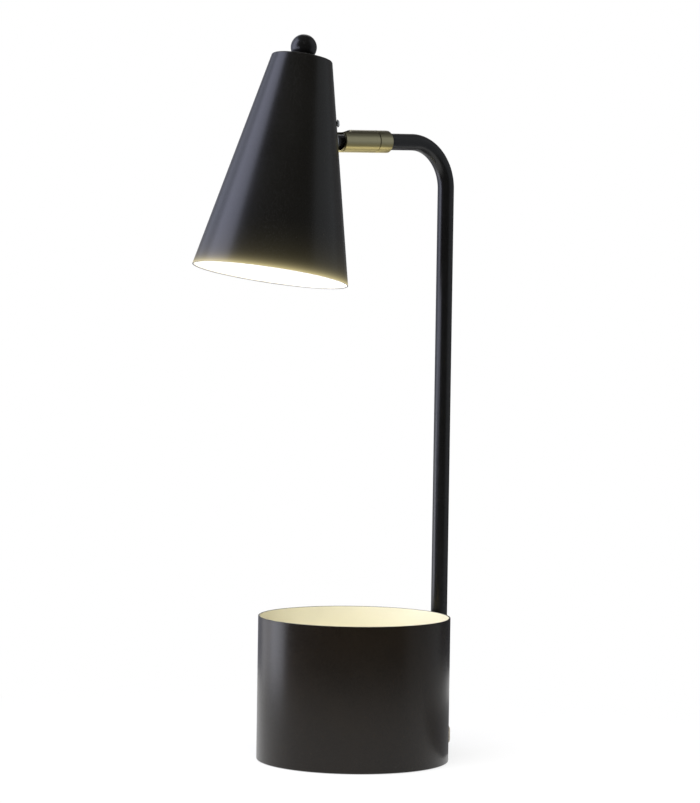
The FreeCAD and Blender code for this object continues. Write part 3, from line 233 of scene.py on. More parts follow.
def tube(path, radius, columns=64):
    """A round tube along a path in the XZ plane: point + radius (cos a N + sin a Y), where N is
    the path's normal in that plane."""
    t = np.gradient(path, axis=0)
    t /= np.linalg.norm(t, axis=1, keepdims=True)
    n = np.stack([t[:, 2], 0 * t[:, 0], -t[:, 0]], axis=1)
    a = ring(columns)[:, None]
    return path[None] + radius * (np.cos(a) * n[None] + np.sin(a) * np.array([0.0, 1.0, 0.0]))


def screw_grids(head, height, shank, long, socket=1.75, deep=1.9, domed=False):
    """A screw with a hexagon socket, its head below z = 0 and its shank above, as grids of the
    head with its socket, the thread and the end. A domed head's crown is the ellipse
    z = -height sqrt(1 - 0.96 (r / head)^2)."""
    columns = 72
    a = ring(columns)
    flat = 0 * a
    wall = hexagon_wall(a, socket)
    if domed:
        t = np.linspace(0, 1, 9)[None, 1:]
        crown_r = wall + 0.25 + (head - socket - 0.25) * t
        crown_z = -height * np.sqrt(np.clip(1 - (crown_r / head).clip(0, 1) ** 2 * 0.96, 0, 1))
    else:
        crown = eased([(2.2, -height, 0), (head * 0.62, -height, 0.5),
                       (head, -height * 0.55, 0.5), (head, 0, 0)], closed=False)
        crown_r = np.maximum(crown[None, :, 0], wall + 0.2)
        crown_z = crown[None, :, 1] + flat
    top = crown_z[:, :1]
    neck = 0.6
    r = [flat, wall * 0.98, wall, wall + 0.12, crown_r, shank + flat, shank + flat]
    z = [top + deep, top + deep, top + 0.15, top, crown_z, flat, neck + flat]
    body = around(np.hstack(r), np.hstack(z), a)
    thread = threaded(shank, shank * 0.14, 0.8, neck, long - 0.6, columns, 6)
    end = spun([(shank * 0.86, long - 0.6), (shank * 0.7, long), (0, long)], columns)
    return [body, thread, end]


def placed(points, matrix):
    """Points in millimetres, moved by a matrix that is in metres."""
    return points @ np.array(matrix.to_3x3()).T + np.array(matrix.translation) / MM


# Pieces

def quads(rows, cols, wrap_rows, wrap_cols, start=0):
    """Faces of a grid of points, as index rows of four."""
    i = np.arange(rows if wrap_rows else rows - 1)[:, None]
    j = np.arange(cols if wrap_cols else cols - 1)[None, :]
    i2, j2 = (i + 1) % rows, (j + 1) % cols
    corners = [i * cols + j, i2 * cols + j, i2 * cols + j2, i * cols + j2]
    return np.stack([c.ravel() for c in corners], axis=1) + start


def add(name, data):
    """A new object in the scene."""
    made = bpy.data.objects.new(name, data)
    bpy.context.scene.collection.objects.link(made)
    return made


def settle(name, mesh, body, node, finish):
    """Add a finished mesh as the piece that stands for a CAD node."""
    mesh.materials.append(finish)
    made = add(name, mesh)
    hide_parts(node)
    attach(made, body)


def piece(name, grids, place, body, node, finish, marks=None, sharp=35):
    """Make one piece from grids, each of them (points, wrap rows, wrap columns). `marks` names
    point attributes. The object stays at the origin, and its place is in its mesh."""
    verts, faces, start = [], [], 0
    for points, wrap_rows, wrap_cols in grids:
        rows, cols = points.shape[:2]
        verts.append(points.reshape(-1, 3))
        faces.append(quads(rows, cols, wrap_rows, wrap_cols, start))
        start += rows * cols
    turned = placed(np.concatenate(verts), place) * MM
    mesh = bpy.data.meshes.new(name)
    mesh.from_pydata(turned.tolist(), [], np.concatenate(faces).tolist())
    for mark, values in (marks or {}).items():
        flat = np.asarray(values, float).ravel()
        mesh.attributes.new(mark, "FLOAT", "POINT").data.foreach_set("value", flat)
    work = bmesh.new()
    work.from_mesh(mesh)
    bmesh.ops.remove_doubles(work, verts=work.verts, dist=0.002 * MM)
    bmesh.ops.dissolve_degenerate(work, edges=work.edges, dist=0.00001 * MM)
    bmesh.ops.recalc_face_normals(work, faces=work.faces)
    work.to_mesh(mesh)
    work.free()
    mesh.shade_smooth()
    mesh.set_sharp_from_angle(angle=math.radians(sharp))
    settle(name, mesh, body, node, finish)


def lathe(name, outline, place, body, node, finish, columns=96, closed=True, marks=None):
    """A turned piece from a closed outline, or from one that starts and ends on the axis, with
    one value of each mark for each point of the outline."""
    shape = (columns, len(outline))
    wide = {mark: np.broadcast_to(values, shape) for mark, values in (marks or {}).items()}
    piece(name, [(spun(outline, columns), True, closed)], place, body, node, finish, wide)


def open_tubes(*grids):
    """Grids that close round an axis and are open at both ends."""
    return [(grid, True, False) for grid in grids]


def dress(node, finish):
    """Give a CAD node a better finish."""
    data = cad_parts[node].data
    if not data.materials:
        data.materials.append(finish)
    for index in range(len(data.materials)):
        data.materials[index] = finish


# Shader maths

class Value:
    """A shader socket that takes part in sums."""

    def __init__(self, finish, socket):
        self.finish, self.socket = finish, socket

    def sum(self, operation, *terms):
        """A Math node on values and numbers."""
        return self.finish.node("Math", {"operation": operation}, dict(enumerate(terms)))

    def __add__(self, other):
        return self.sum("ADD", self, other)

    __radd__ = __add__

    def __sub__(self, other):
        return self.sum("SUBTRACT", self, other)

    def __rsub__(self, other):
        return self.sum("SUBTRACT", other, self)

    def __mul__(self, other):
        return self.sum("MULTIPLY", self, other)

    __rmul__ = __mul__

    def __truediv__(self, other):
        return self.sum("DIVIDE", self, other)

    def __or__(self, other):
        return self.sum("MAXIMUM", self, other)

    def exp(self):
        """e to the power of the value."""
        return self.sum("EXPONENT", self)

    def span(self, low, high):
        """0 at low, 1 at high, eased between them."""
        return self.finish.node("MapRange", {"interpolation_type": "SMOOTHSTEP"},
                                {0: self, 1: low, 2: high, 3: 0.0, 4: 1.0})


class Finish:
    """One node tree, built from the shader that a new material or world comes with."""

    def __init__(self, name, kind="materials", **base):
        self.owner = getattr(bpy.data, kind).new(name)
        self.owner.use_nodes = True
        self.tree = self.owner.node_tree
        first = self.tree.links[0]
        self.shader, self.output = first.from_node, first.to_node
        self.coords = self.node("TexCoord", {}, {}, "Object")
        for socket, value in base.items():
            self.set(socket.replace("_", " ").title().replace("Ior", "IOR"), value)

    def node(self, kind, settings, inputs, output=0):
        """Add a node: settings first, then values or links for its sockets. A ramp's stops are
        rows of position and grey, from 0 to 1."""
        made = self.tree.nodes.new("ShaderNode" + kind)
        stops = settings.pop("stops", [])
        for place, grey in stops[1:-1]:
            made.color_ramp.elements.new(place)
        for index, (place, grey) in enumerate(stops):
            made.color_ramp.elements[index].color = (grey, grey, grey, 1.0)
        for key, value in settings.items():
            setattr(made, key, value)
        for key, value in inputs.items():
            self.feed(made.inputs[key], value)
        return Value(self, made.outputs[output])

    def feed(self, socket, value):
        """Link a value into a socket, or write a number, a vector or a colour there."""
        if isinstance(value, Value):
            self.tree.links.new(value.socket, socket)
        else:
            socket.default_value = (*value, 1.0) if socket.type == "RGBA" else value

    def set(self, socket, value):
        """Set or link one of the shader's own sockets."""
        self.feed(self.shader.inputs[socket], value)

    def show(self, shader):
        """Send a shader to the output."""
        self.feed(self.output.inputs["Surface"], shader)

    def show_white(self, white):
        """Show a white shader to the camera, reflections and glass, and the tree's own shader to
        other light."""
        camera, glossy, through = (self.node("LightPath", {}, {}, f"Is {ray} Ray")
                                   for ray in ("Camera", "Glossy", "Transmission"))
        plain = Value(self, self.shader.outputs[0])
        self.show(self.node("MixShader", {}, {0: camera | glossy | through, 1: plain, 2: white}))

    def stretched(self, scale):
        """Object coordinates, multiplied by a scale in each direction."""
        return self.node("Mapping", {}, {"Vector": self.coords, "Scale": scale})

    def local(self, matrix):
        """Object coordinates seen from a frame of the lamp."""
        back = matrix.inverted()
        return self.node("Mapping", {}, {
            "Vector": self.coords, "Location": back.translation,
            "Rotation": back.to_euler("XYZ")})

    def noise(self, scale, detail=2.0, roughness=0.5, coords=None):
        """Noise from 0 to 1 with `scale` cells in a metre."""
        return self.node("TexNoise", {}, {
            "Vector": coords or self.coords, "Scale": scale, "Detail": detail,
            "Roughness": roughness})

    def mix(self, mask, first, second):
        """A colour that goes from first to second with the mask."""
        return self.node("Mix", {"data_type": "RGBA"},
                         {0: mask, 6: first, 7: second}, 2)

    def mottled(self, rgb, noise, low, high, first, last):
        """A colour from rgb times `first`, where the noise is low, to rgb times `last`."""
        return self.mix(noise.span(low, high), scaled(rgb, first), scaled(rgb, last))

    def mark(self, name):
        """A point attribute of the piece."""
        return self.node("Attribute", {"attribute_name": name}, {}, "Fac")

    def done(self, colour, roughness, height, depth, strength):
        """Set the base colour, the roughness and a bump of height times depth in millimetres."""
        self.set("Base Color", colour)
        self.set("Roughness", roughness)
        self.set("Normal", self.node("Bump", {}, {
            "Height": height, "Distance": depth * MM, "Strength": strength}))
        return self.owner


def scaled(rgb, factor):
    """A colour made lighter or darker."""
    return tuple(min(1.0, c * factor) for c in rgb)


# Finishes

# the painted glow on the shade's coat fades over this height above the mouth
GLOW_TOP = 40.0  # the height over the mouth, in millimetres, where the glow mark is 1
# Painted light on the joint's brass: a dark top as painted shade, a bright low band as a painted
# reflection
PAINTED_LIGHT_RAMP = [(0.0, 0.40), (0.26, 0.42), (0.36, 0.95), (0.48, 1.0), (0.60, 0.66), (0.72, 0.46),
          (0.79, 1.0), (0.86, 0.9), (1.0, 0.8)]  # from the joint's top down: place and tone


def powder_coat(name, shade="coat", lining=None, glow=None, shine=0.45):
    """Satin powder coat with fine orange peel. A lining shows where the piece's `lining` mark is
    1. A painted glow of lamplight lies on the coat above the mouth's edge: h millimetres above it
    the glow is 0.62 e^(-h/2.3) + 0.07 e^(-h/11), with h from the `glow` mark."""
    c, f = colours(), Finish(name, metallic=0.0, specular_ior_level=shine)
    peel = f.noise(900, 3.0)
    grain = f.noise(3800)
    cloud = f.noise(18, 3.0)
    base = f.mottled(c[shade], cloud, 0.3, 0.75, 0.85, 1.25)
    if lining:
        inside = f.mark("lining")
        base = f.mix(inside, base, f.mottled(c[lining], f.noise(30, 3.0), 0.3, 0.8, 1.0, 0.95))
    rough = 0.28 + 0.05 * (cloud - 0.5) + 0.10 * (grain - 0.5)
    # painted glow: the coat emits light above the mouth's edge, though it is no lamp
    if glow:
        climb = GLOW_TOP * f.mark("glow")
        near = 0.62 * (climb * (-1 / 2.3)).exp() + 0.07 * (climb * (-1 / 11)).exp()
        f.set("Emission Color", f.mix(near, (0.0, 0.0, 0.0), c[glow]))
        f.set("Emission Strength", 1.0)
    return f.done(base, rough, peel * 0.75 + grain * 0.25, 0.06, 0.35)


def satin_brass(name):
    """Turned satin brass: fine rings along the arm, with painted shade that makes its upper side
    olive and dark, and a painted golden reflection below."""
    f, bright, dark = Finish(name, metallic=1.0), colours()["brass"], colours()["brass_dark"]
    rings = f.noise(1.0, 3.0, 0.6, f.stretched((3000, 40, 40)))
    smear = f.noise(160, 3.0)
    across = f.node("SeparateXYZ", {}, {0: f.local(ARM)})
    low = 0.5 - 0.5 * across / (JOINT_RADIUS * MM) + 0.03 * (smear - 0.5)
    # painted shade on top and a painted reflection low down, by height across the joint
    painted_tone = f.node("ValToRGB", {"stops": PAINTED_LIGHT_RAMP}, {0: low})
    painted_gold_reflection = f.mix(low.span(0.52, 0.76), dark, bright)
    return f.done(f.mix(painted_tone, scaled(dark, 0.05), painted_gold_reflection),
                  0.27 + 0.10 * rings + 0.06 * (smear - 0.5), rings, 0.02, 0.5)


def plated(name, roughness=0.30, rgb=None):
    """Plated steel with faint cloudy plating and rolling lines."""
    f = Finish(name, metallic=1.0)
    cloud = f.noise(260, 3.0)
    lines = f.noise(1.0, coords=f.stretched((180, 900, 2600)))
    return f.done(f.mottled(rgb or colours()["plating"], cloud, 0.25, 0.8, 0.82, 1.15),
                  roughness + 0.12 * (cloud - 0.5) + 0.06 * (lines - 0.5), lines, 0.01, 0.4)


def moulded(name, rgb, roughness, cells=2500, depth=0.03):
    """Moulded plastic or rubber with a fine sparked grain, `cells` to the metre."""
    f = Finish(name, metallic=0.0, specular_ior_level=0.4)
    grain = f.noise(cells)
    return f.done(f.mottled(rgb, f.noise(40), 0.3, 0.8, 0.93, 1.05),
                  roughness + 0.08 * (grain - 0.5), grain, depth, 0.5)


def casting(name, rgb):
    """Rough cast iron with a sandy skin."""
    f = Finish(name, metallic=0.6)
    sand = f.noise(900, 5.0, 0.7)
    return f.done(f.mottled(rgb, f.noise(45, 3.0), 0.3, 0.7, 1.0, 1.7),
                  0.66 + 0.15 * (sand - 0.5), sand, 0.3, 0.6)


def foam(name, rgb):
    """Fine-celled foam rubber."""
    f = Finish(name, metallic=0.0, specular_ior_level=0.25)
    cells = f.node("TexVoronoi", {}, {"Vector": f.coords, "Scale": 1400.0}, "Distance")
    patch = f.noise(60, 3.0)
    return f.done(f.mottled(rgb, patch, 0.3, 0.75, 1.0, 1.6), 0.88 + 0.08 * (patch - 0.5),
                  cells, 0.12, 0.7)


def opal(name, strength):
    """Lit opal glass, brighter where the piece's `lit` mark is higher."""
    f = Finish(name, metallic=0.0, roughness=0.18, base_color=(0.95, 0.93, 0.88))
    light, haze = colours()["lamplight"], f.noise(60)
    warm = f.mix(f.mark("lit"), scaled(light, 0.75), light)
    f.set("Emission Color", f.mix(0.06 * haze, warm, (1.0, 0.9, 0.75)))
    f.set("Emission Strength", strength)
    return f.owner


def emitter_board(name):
    """White board with rows of yellow emitters."""
    f = Finish(name, metallic=0.0)
    cells = f.node("TexVoronoi", {"distance": "CHEBYCHEV"},
                   {"Vector": f.local(SHADE), "Scale": 140.0, "Randomness": 0.0}, "Distance")
    chip = 1.0 - cells.span(0.22, 0.26)
    f.set("Base Color", f.mix(chip, (0.85, 0.85, 0.83), (0.85, 0.68, 0.18)))
    f.set("Roughness", 0.4 + 0.15 * f.noise(500))
    return f.owner


# Stage

FOCAL_PX, FRAME_PX, SENSOR = 3097.8, 803.0, 36.0  # the lens for a frame 803 pixels high
AZIMUTH, ELEVATION, ROLL = -39.8, 2.32, 0.86
DISTANCE, TARGET_RIGHT, TARGET_UP = 2409.2, -5.89, 279.9
VIEW = tip(math.radians(AZIMUTH), "Z") @ tip(math.radians(90 - ELEVATION), "X")
AIM = Vector((0, 0, 0.28))  # the lamps face the middle of the lamp
WORLD_LIGHT = 0.30
WHITE, COOL = (1, 1, 1), (0.72, 0.76, 1.0)

# Name, direction as the camera's right, up and back, distance, size, power and tint
SOFTBOXES = [
    ("left_front", (-1, 0, 0.09), 1.5, (0.90, 1.7), 22.5, COOL),
    ("left_behind", (-0.85, 0, -0.52), 1.5, (0.70, 1.7), 3.6, COOL),
    ("front_high", (-0.15, 0.85, 0.55), 1.4, (1.2, 1.2), 36.0, WHITE),
]

# Heights of the screens' edges, and the screens' distance from the pot's axis
FLOOR_UP, LOW, HIGH, CEILING, SCREEN_AWAY = 0.002, 0.24, 0.56, 1.25, 0.58

# Name, first and last angle, lower and upper edge, light, and a flat screen's two radii
SCREENS = [
    ("left_high", -104, -65, HIGH, CEILING, (2.45, 2.55, 3.3)),
    ("left_middle", -104, -42, LOW, HIGH, (2.6, 2.7, 3.4)),
    ("left_low", -110, -85, 0.0, LOW, (3.8, 3.9, 4.4)),
    ("left_side", -134, -104, LOW, CEILING, (0.85, 0.90, 1.15)),
    ("left_side_low", -134, -110, 0.0, LOW, (1.6, 1.6, 1.7)),
    ("left_far", -172, -134, 0.0, CEILING, (0.33, 0.34, 0.40)),
    ("front_high", -66, 62, HIGH, CEILING, (0.05, 0.05, 0.05)),
    ("front_middle", -42, 62, LOW, HIGH, (0.06, 0.06, 0.06)),
    ("front_low", -86, 62, 0.0, LOW, (0.06, 0.06, 0.06)),
    ("right", 62, 118, 0.0, CEILING, (0.36, 0.38, 0.41)),
    ("right_far", 118, 172, LOW, CEILING, (0.18, 0.18, 0.19)),
    ("right_far_low", 118, 172, 0.0, LOW, (0.08, 0.08, 0.09)),
    ("ceiling", 0, 360, CEILING, CEILING, (0.08, 0.08, 0.08), 0.0),
    # painted shadow: a dark disc on the floor on the lamp's shaded side, seen only in reflections
    ("shadow", 84, 172, FLOOR_UP, FLOOR_UP, (0.30, 0.30, 0.31), 0.085, 0.36),
]


def add_camera():
    """The camera at the photograph's angle, for a frame of 700 by 803."""
    data = bpy.data.cameras.new("view")
    data.lens = FOCAL_PX * SENSOR / FRAME_PX
    data.clip_start, data.clip_end = 0.05, 50.0
    camera = add("view", data)
    camera.matrix_world = (shift(0, 0, TARGET_UP) @ VIEW @ shift(TARGET_RIGHT, 0, DISTANCE)
                           @ tip(math.radians(ROLL), "Z"))
    bpy.context.scene.camera = camera


def add_softbox(name, direction, distance, size, power, tint):
    """An area lamp. Reflections show the screens in its stead."""
    data = bpy.data.lights.new(name, "AREA")
    data.shape = "RECTANGLE"
    data.size, data.size_y = size
    data.energy = power
    data.color = tint
    box = add(name, data)
    away = (VIEW.to_3x3() @ Vector(direction)).normalized()
    box.location = AIM + away * distance
    box.rotation_euler = away.to_track_quat("Z", "Y").to_euler()
    box.visible_glossy = False


def stage_mesh(name, grid, faces, finish):
    """Add a mesh of the stage, from a grid of points in metres."""
    mesh = bpy.data.meshes.new(name)
    mesh.from_pydata(grid.reshape(-1, 3).tolist(), [], faces.tolist())
    mesh.materials.append(finish)
    made = add(name, mesh)
    return made


def add_screen(name, first, last, low, high, shade, inner=SCREEN_AWAY, outer=SCREEN_AWAY):
    """A screen round the lamp that only reflections see, as a studio sets them up: part of a
    cylinder or of a disc, from angle `first` to `last` in degrees to the camera's right."""
    a = np.radians(np.linspace(first, last, 25) + AZIMUTH - 90)[:, None]
    grid = around(np.linspace(inner, outer, 3)[None, :], np.linspace(low, high, 3)[None, :], a)
    name += "_screen"
    cloth = Finish(name + "_cloth")
    cloth.show(cloth.node("Emission", {}, {"Color": shade}))
    cloth.tree.nodes.remove(cloth.shader)
    screen = stage_mesh(name, grid, quads(25, 3, False, False), cloth.owner)
    for ray in ("camera", "diffuse", "transmission", "shadow"):
        setattr(screen, "visible_" + ray, False)


def add_world():
    """A pale world that shows white behind the lamp."""
    f = Finish("studio", "worlds", color=WHITE, strength=WORLD_LIGHT)
    f.show_white(f.node("Background", {}, {"Color": WHITE, "Strength": 1.0}))
    bpy.context.scene.world = f.owner


def add_floor():
    """A pale round floor that keeps the lamp's shadow: a lit white surface, mixed with a white
    that is light of its own, more so away from the lamp."""
    f = Finish("floor_white", base_color=(0.93, 0.93, 0.93), roughness=0.9, specular_ior_level=0.0)
    away = f.node("VectorMath", {"operation": "LENGTH"}, {0: f.coords}, "Value")
    share = 0.80 + 0.20 * away.span(0.10, 0.45)
    white = f.node("Emission", {}, {"Color": WHITE, "Strength": 1.0})
    lit = Value(f, f.shader.outputs[0])
    f.show_white(f.node("MixShader", {}, {0: share, 1: lit, 2: white}))
    grid = around(np.array([0.0, 0.2, 0.5, 1.5, 6.0])[None, :], -0.0002, ring(96) + np.zeros(5))
    stage_mesh("floor", grid, quads(96, 5, True, False)[:, ::-1], f.owner)


# Operators

class LampOperator(bpy.types.Operator):
    """What the lamp's operators share."""
    bl_options = {"REGISTER", "UNDO"}


class LAMP_OT_stage(LampOperator):
    """Add the camera, the floor, the world, the soft lights and the screens"""
    bl_idname = "lamp.stage"
    bl_label = "Stage"

    def execute(self, context):
        context.scene.view_settings.view_transform = "Standard"
        add_camera()
        add_world()
        add_floor()
        for row in SOFTBOXES:
            add_softbox(*row)
        for row in SCREENS:
            add_screen(*row)
        return {"FINISHED"}


FLANGE, POT_FOOT = 71.0, 0.4  # the pot's turned-in foot: its inner radius and its level
LINING_LOW, LINING_BAND = 12.4, 0.2  # the cream paint's lower edge, behind the pan's rim
PAN = [(0, 20.8, 0), (72.6, 20.8, 0.4), (72.6, 12.8, 0.3), (73.75, 12.8, 0.3), (73.75, 22, 2.0),
       (0, 22, 0)]


class LAMP_OT_pot(LampOperator):
    """Add the pot's shell and its pressed floor"""
    bl_idname = "lamp.pot"
    bl_label = "Pot"

    def execute(self, context):
        s = sizes()
        outer, inner, top = s["pot_radius"], s["pot_radius"] - s["pot_wall"], s["pot_height"]
        sheet, rim = POT_FOOT + s["pot_wall"], 0.5
        outline = eased([(FLANGE, POT_FOOT, 0.3), (outer, POT_FOOT, 0.9), (outer, top, rim),
                         (inner, top, rim), (inner, sheet, 0.5), (FLANGE, sheet, 0.3)], 6)
        wall = np.flatnonzero(outline[:, 1] > top - rim - 0.001)[-1] + 1
        band = [(inner, LINING_LOW + LINING_BAND), (inner, LINING_LOW - LINING_BAND)]
        outline = np.insert(outline, wall, band, axis=0)
        r, z = outline.T
        lined = (r < outer - 0.28) & (z > LINING_LOW) & (z < top - 0.3)
        # the pot's coat carries the painted warm bounce light
        coat = powder_coat("pot_coat", "pot_coat", "pot_lining", shine=0.30)
        lathe("pot", outline, WORLD, "stand", "pot_shell", coat, 192, marks={"lining": lined})
        paint = powder_coat("pan_paint", "coat", "pot_lining")
        lathe("pot_floor_pan", eased(PAN, 6, closed=False), WORLD, "stand", "pot_floor", paint, 160,
              closed=False, marks={"lining": 1.0})
        return {"FINISHED"}


class LAMP_OT_base(LampOperator):
    """Finish the weight, the base plate, its screws and the foot pad"""
    bl_idname = "lamp.base"
    bl_label = "Weighted base"

    def execute(self, context):
        dress("base_weight", casting("cast_weight", (0.07, 0.07, 0.075)))
        dress("base_plate", plated("plate_zinc", 0.38))
        dress("base_screws", plated("screw_zinc"))
        dress("foot_pad", foam("pad_foam", (0.014, 0.014, 0.014)))
        return {"FINISHED"}


def pole_line(start, end, steps=48):
    """The pole's centre line: up from `start`, round the bend by 90 degrees and the arm's lean,
    and along the arm to `end` from the corner."""
    bend_z = CORNER_Z - BEND_REACH
    up = np.linspace(start, bend_z - 1, steps // 4)
    a = np.linspace(0, math.pi / 2 + ARM_LEAN, steps)
    far = np.linspace(BEND_REACH + 1, end, steps // 4)
    x = [POLE_X + 0 * up, POLE_X - BEND + BEND * np.cos(a), POLE_X - far * math.cos(ARM_LEAN)]
    z = [up, bend_z + BEND * np.sin(a), CORNER_Z - far * math.sin(ARM_LEAN)]
    x, z = np.concatenate(x), np.concatenate(z)
    return np.stack([x, 0 * x, z], axis=1)


def oval(half_width, rise, columns):
    """An oval's points (y, z) and outward directions: half circles joined by straight sides."""
    a = ring(columns)
    way = np.hstack([np.cos(a), np.sin(a)])
    middle = np.hstack([0 * a, rise * np.sign(np.round(np.sin(a), 9))])
    return middle + half_width * way, way


class LAMP_OT_pole(LampOperator):
    """Add the bent tube and its cord bushing, and finish its plug"""
    bl_idname = "lamp.pole"
    bl_label = "Pole"

    def execute(self, context):
        s = sizes()
        line, r = pole_line(3, ARM_END), s["pole_radius"]
        outer, edge, inner = (tube(line, r - cut) for cut in (0, 0.25, s["pole_wall"]))
        shell = np.hstack([inner[:, :1], edge[:, :1], outer[:, 1:-1], edge[:, -1:],
                           inner[:, -1:], inner[:, 1:-1][:, ::-1]])
        piece("pole_tube", [(shell, True, True)], WORLD, "stand", "pole", powder_coat("pole_coat"))
        dress("pole_plug", moulded("black_moulding", (0.012, 0.012, 0.012), 0.5))
        self.bushing(r)
        return {"FINISHED"}

    def bushing(self, tube_r):
        """The oval cord bushing: rows from the tube's wall over a round edge to the bore, each
        with its distance from the pole's axis and its points across it."""
        level, bore_r, edge, lip = 12, 2.6, 0.8, 0.5
        rim, way = oval(4.6, 3.4, 96)
        bore, face, none = bore_r * way, tube_r + 3.8, 0 * rim[:, 0]
        rows = [(np.sqrt((tube_r - 0.2) ** 2 - rim[:, 0] ** 2), rim)]
        for t in np.linspace(0, math.pi / 2, 7):
            rows.append((face - edge + edge * math.sin(t), rim - edge * (1 - math.cos(t)) * way))
        for t in np.linspace(0, math.pi / 2, 5):
            rows.append((face - lip + lip * math.cos(t), bore + lip * (1 - math.sin(t)) * way))
        rows.append((tube_r - 2, bore))
        grid = np.stack([np.column_stack([x + none, yz]) for x, yz in rows], axis=1)
        piece("oval_bushing", [(grid, True, False)], shift(POLE_X, 0, level), "stand",
              "cord_bushing", moulded("beige_moulding", (0.56, 0.50, 0.39), 0.42), sharp=40)


class LAMP_OT_pole_fixing(LampOperator):
    """Add the screws that hold the pole to the pot, and finish washers, spacers and inserts"""
    bl_idname = "lamp.pole_fixing"
    bl_label = "Pole fixing"

    def execute(self, context):
        zinc = plated("fixing_zinc", 0.26)
        washer_r, washer = 6, 1
        face = math.sqrt(73.8 ** 2 - washer_r ** 2) - washer
        grids = []
        for level in (46, 94):
            place = shift(face, 0, level) @ tip(math.pi / 2)
            grids += [placed(g, place) for g in screw_grids(4.4, 3.0, 2.4, 86.5 - face)]
        piece("pole_screw_pair", open_tubes(*grids), WORLD, "stand", "pole_screws", zinc)
        dress("pole_washers", zinc)
        dress("pole_inserts", zinc)
        dress("pole_spacers", powder_coat("spacer_coat"))
        return {"FINISHED"}


class LAMP_OT_collar(LampOperator):
    """Add the collar at the arm's end, with its spigot"""
    bl_idname = "lamp.collar"
    bl_label = "Joint collar"

    def execute(self, context):
        s = sizes()
        r, spigot, groove, start, end = s["joint_radius"], 7.32, 6.55, 71.6, 86.2
        outline = eased([(THREAD, ARM_END, 0.15), (7.6, ARM_END, 0.2), (r, 62.75, 0.2),
                         (r, 74.9, 0.12), (r - 0.3, 75.2, 0.1), (spigot, 75.2, 0.1),
                         (spigot, 78.8, 0.1), (groove, 78.8, 0.1), (groove, 80.0, 0.1),
                         (spigot, 80.0, 0.1), (spigot, end, 0.3), (BORE, end, 0.2),
                         (BORE, start, 0.2), (THREAD, start, 0.2)], 4)
        lathe("brass_collar", outline, ARM, "stand", "joint_collar", satin_brass("collar_brass"))
        dress("arm_nipple", plated("nipple_zinc"))
        return {"FINISHED"}


def open_ring(half, radius, columns):
    """Rows of angles from one edge of a slot, where sin a = half / radius, to the other."""
    start = np.arcsin(np.clip(half / radius, 0, 1))
    return start + (2 * math.pi - 2 * start) * np.linspace(0, 1, columns)[None, :]


def slotted_wall(radius, low, apex, high, half_width, columns=96):
    """Rows of a sleeve's wall. Below the slot's apex each row is a whole circle that starts at
    the top. Above it a row runs from the slot's one edge to the other, where at depth d the
    slot's round end has the half width sqrt(w^2 - (w - d)^2)."""
    whole = np.linspace(low, apex, 10)
    curved = apex + half_width * (1 - np.cos(np.linspace(0, math.pi / 2, 14)[1:]))
    straight = np.linspace(apex + half_width, high, 10)[1:]
    z = np.concatenate([whole, curved, straight])[:, None]
    deep = np.clip(half_width - (z - apex), 0, half_width)
    half = np.where(z <= apex, 0.0, np.sqrt(np.clip(half_width ** 2 - deep ** 2, 0, None)))
    return around(radius, z, open_ring(half, radius, columns)), len(whole) - 1


def end_row(row, radius, z):
    """A row of a wall moved to another radius and height, at the same angles."""
    return around(radius, z, np.arctan2(row[:, 1], row[:, 0])[:, None])[:, 0]


class LAMP_OT_sleeve(LampOperator):
    """Add the slotted sleeve with its lip round the ball, and finish ring, spring and seat"""
    bl_idname = "lamp.sleeve"
    bl_label = "Joint sleeve"

    def execute(self, context):
        s = sizes()
        r, bore_r, lip_r, end = s["joint_radius"], 7.4, 6.2, BALL_REACH + 10
        slot = (75.8, 99, 109.5, 5.3)
        outer, first = slotted_wall(r, *slot)
        bore, _ = slotted_wall(bore_r, *slot)
        z = bore[:, :, 2]
        ball = np.sqrt(np.clip(bore_r ** 2 - np.clip(z - BALL_REACH, 0, None) ** 2, 0, None))
        lip = BALL_REACH + math.sqrt(bore_r ** 2 - lip_r ** 2)
        mouth = lip_r + (z - lip) / (end - lip)
        inner_r = np.where(z < BALL_REACH, bore_r, np.where(z < lip, ball, mouth))
        a = open_ring(np.abs(bore[:, :1, 1]), inner_r[:, :1], bore.shape[1])
        inner = around(inner_r, z, a)
        grids = [outer, inner]
        for side in (0, -1):
            grids.append(np.stack([outer[:, side], inner[:, side]], axis=1)[first:])
        for row, chamfers in ((-1, ((8.4, 109.9), (7.15, 109.95))),
                              (0, ((r - 0.3, 75.5), (7.5, 75.5)))):
            grids.append(np.stack([outer[row], end_row(outer[row], *chamfers[0]),
                                   end_row(inner[row], *chamfers[1]), inner[row]], axis=0))
        piece("brass_sleeve", [(grid, False, False) for grid in grids], ARM, "sleeve",
              "joint_sleeve", satin_brass("sleeve_brass"), sharp=28)
        dark = plated("spring_steel", 0.35, (0.16, 0.16, 0.17))
        dress("snap_ring", dark)
        dress("ball_spring", dark)
        dress("ball_seat", moulded("seat_moulding", (0.03, 0.03, 0.03), 0.4))
        return {"FINISHED"}


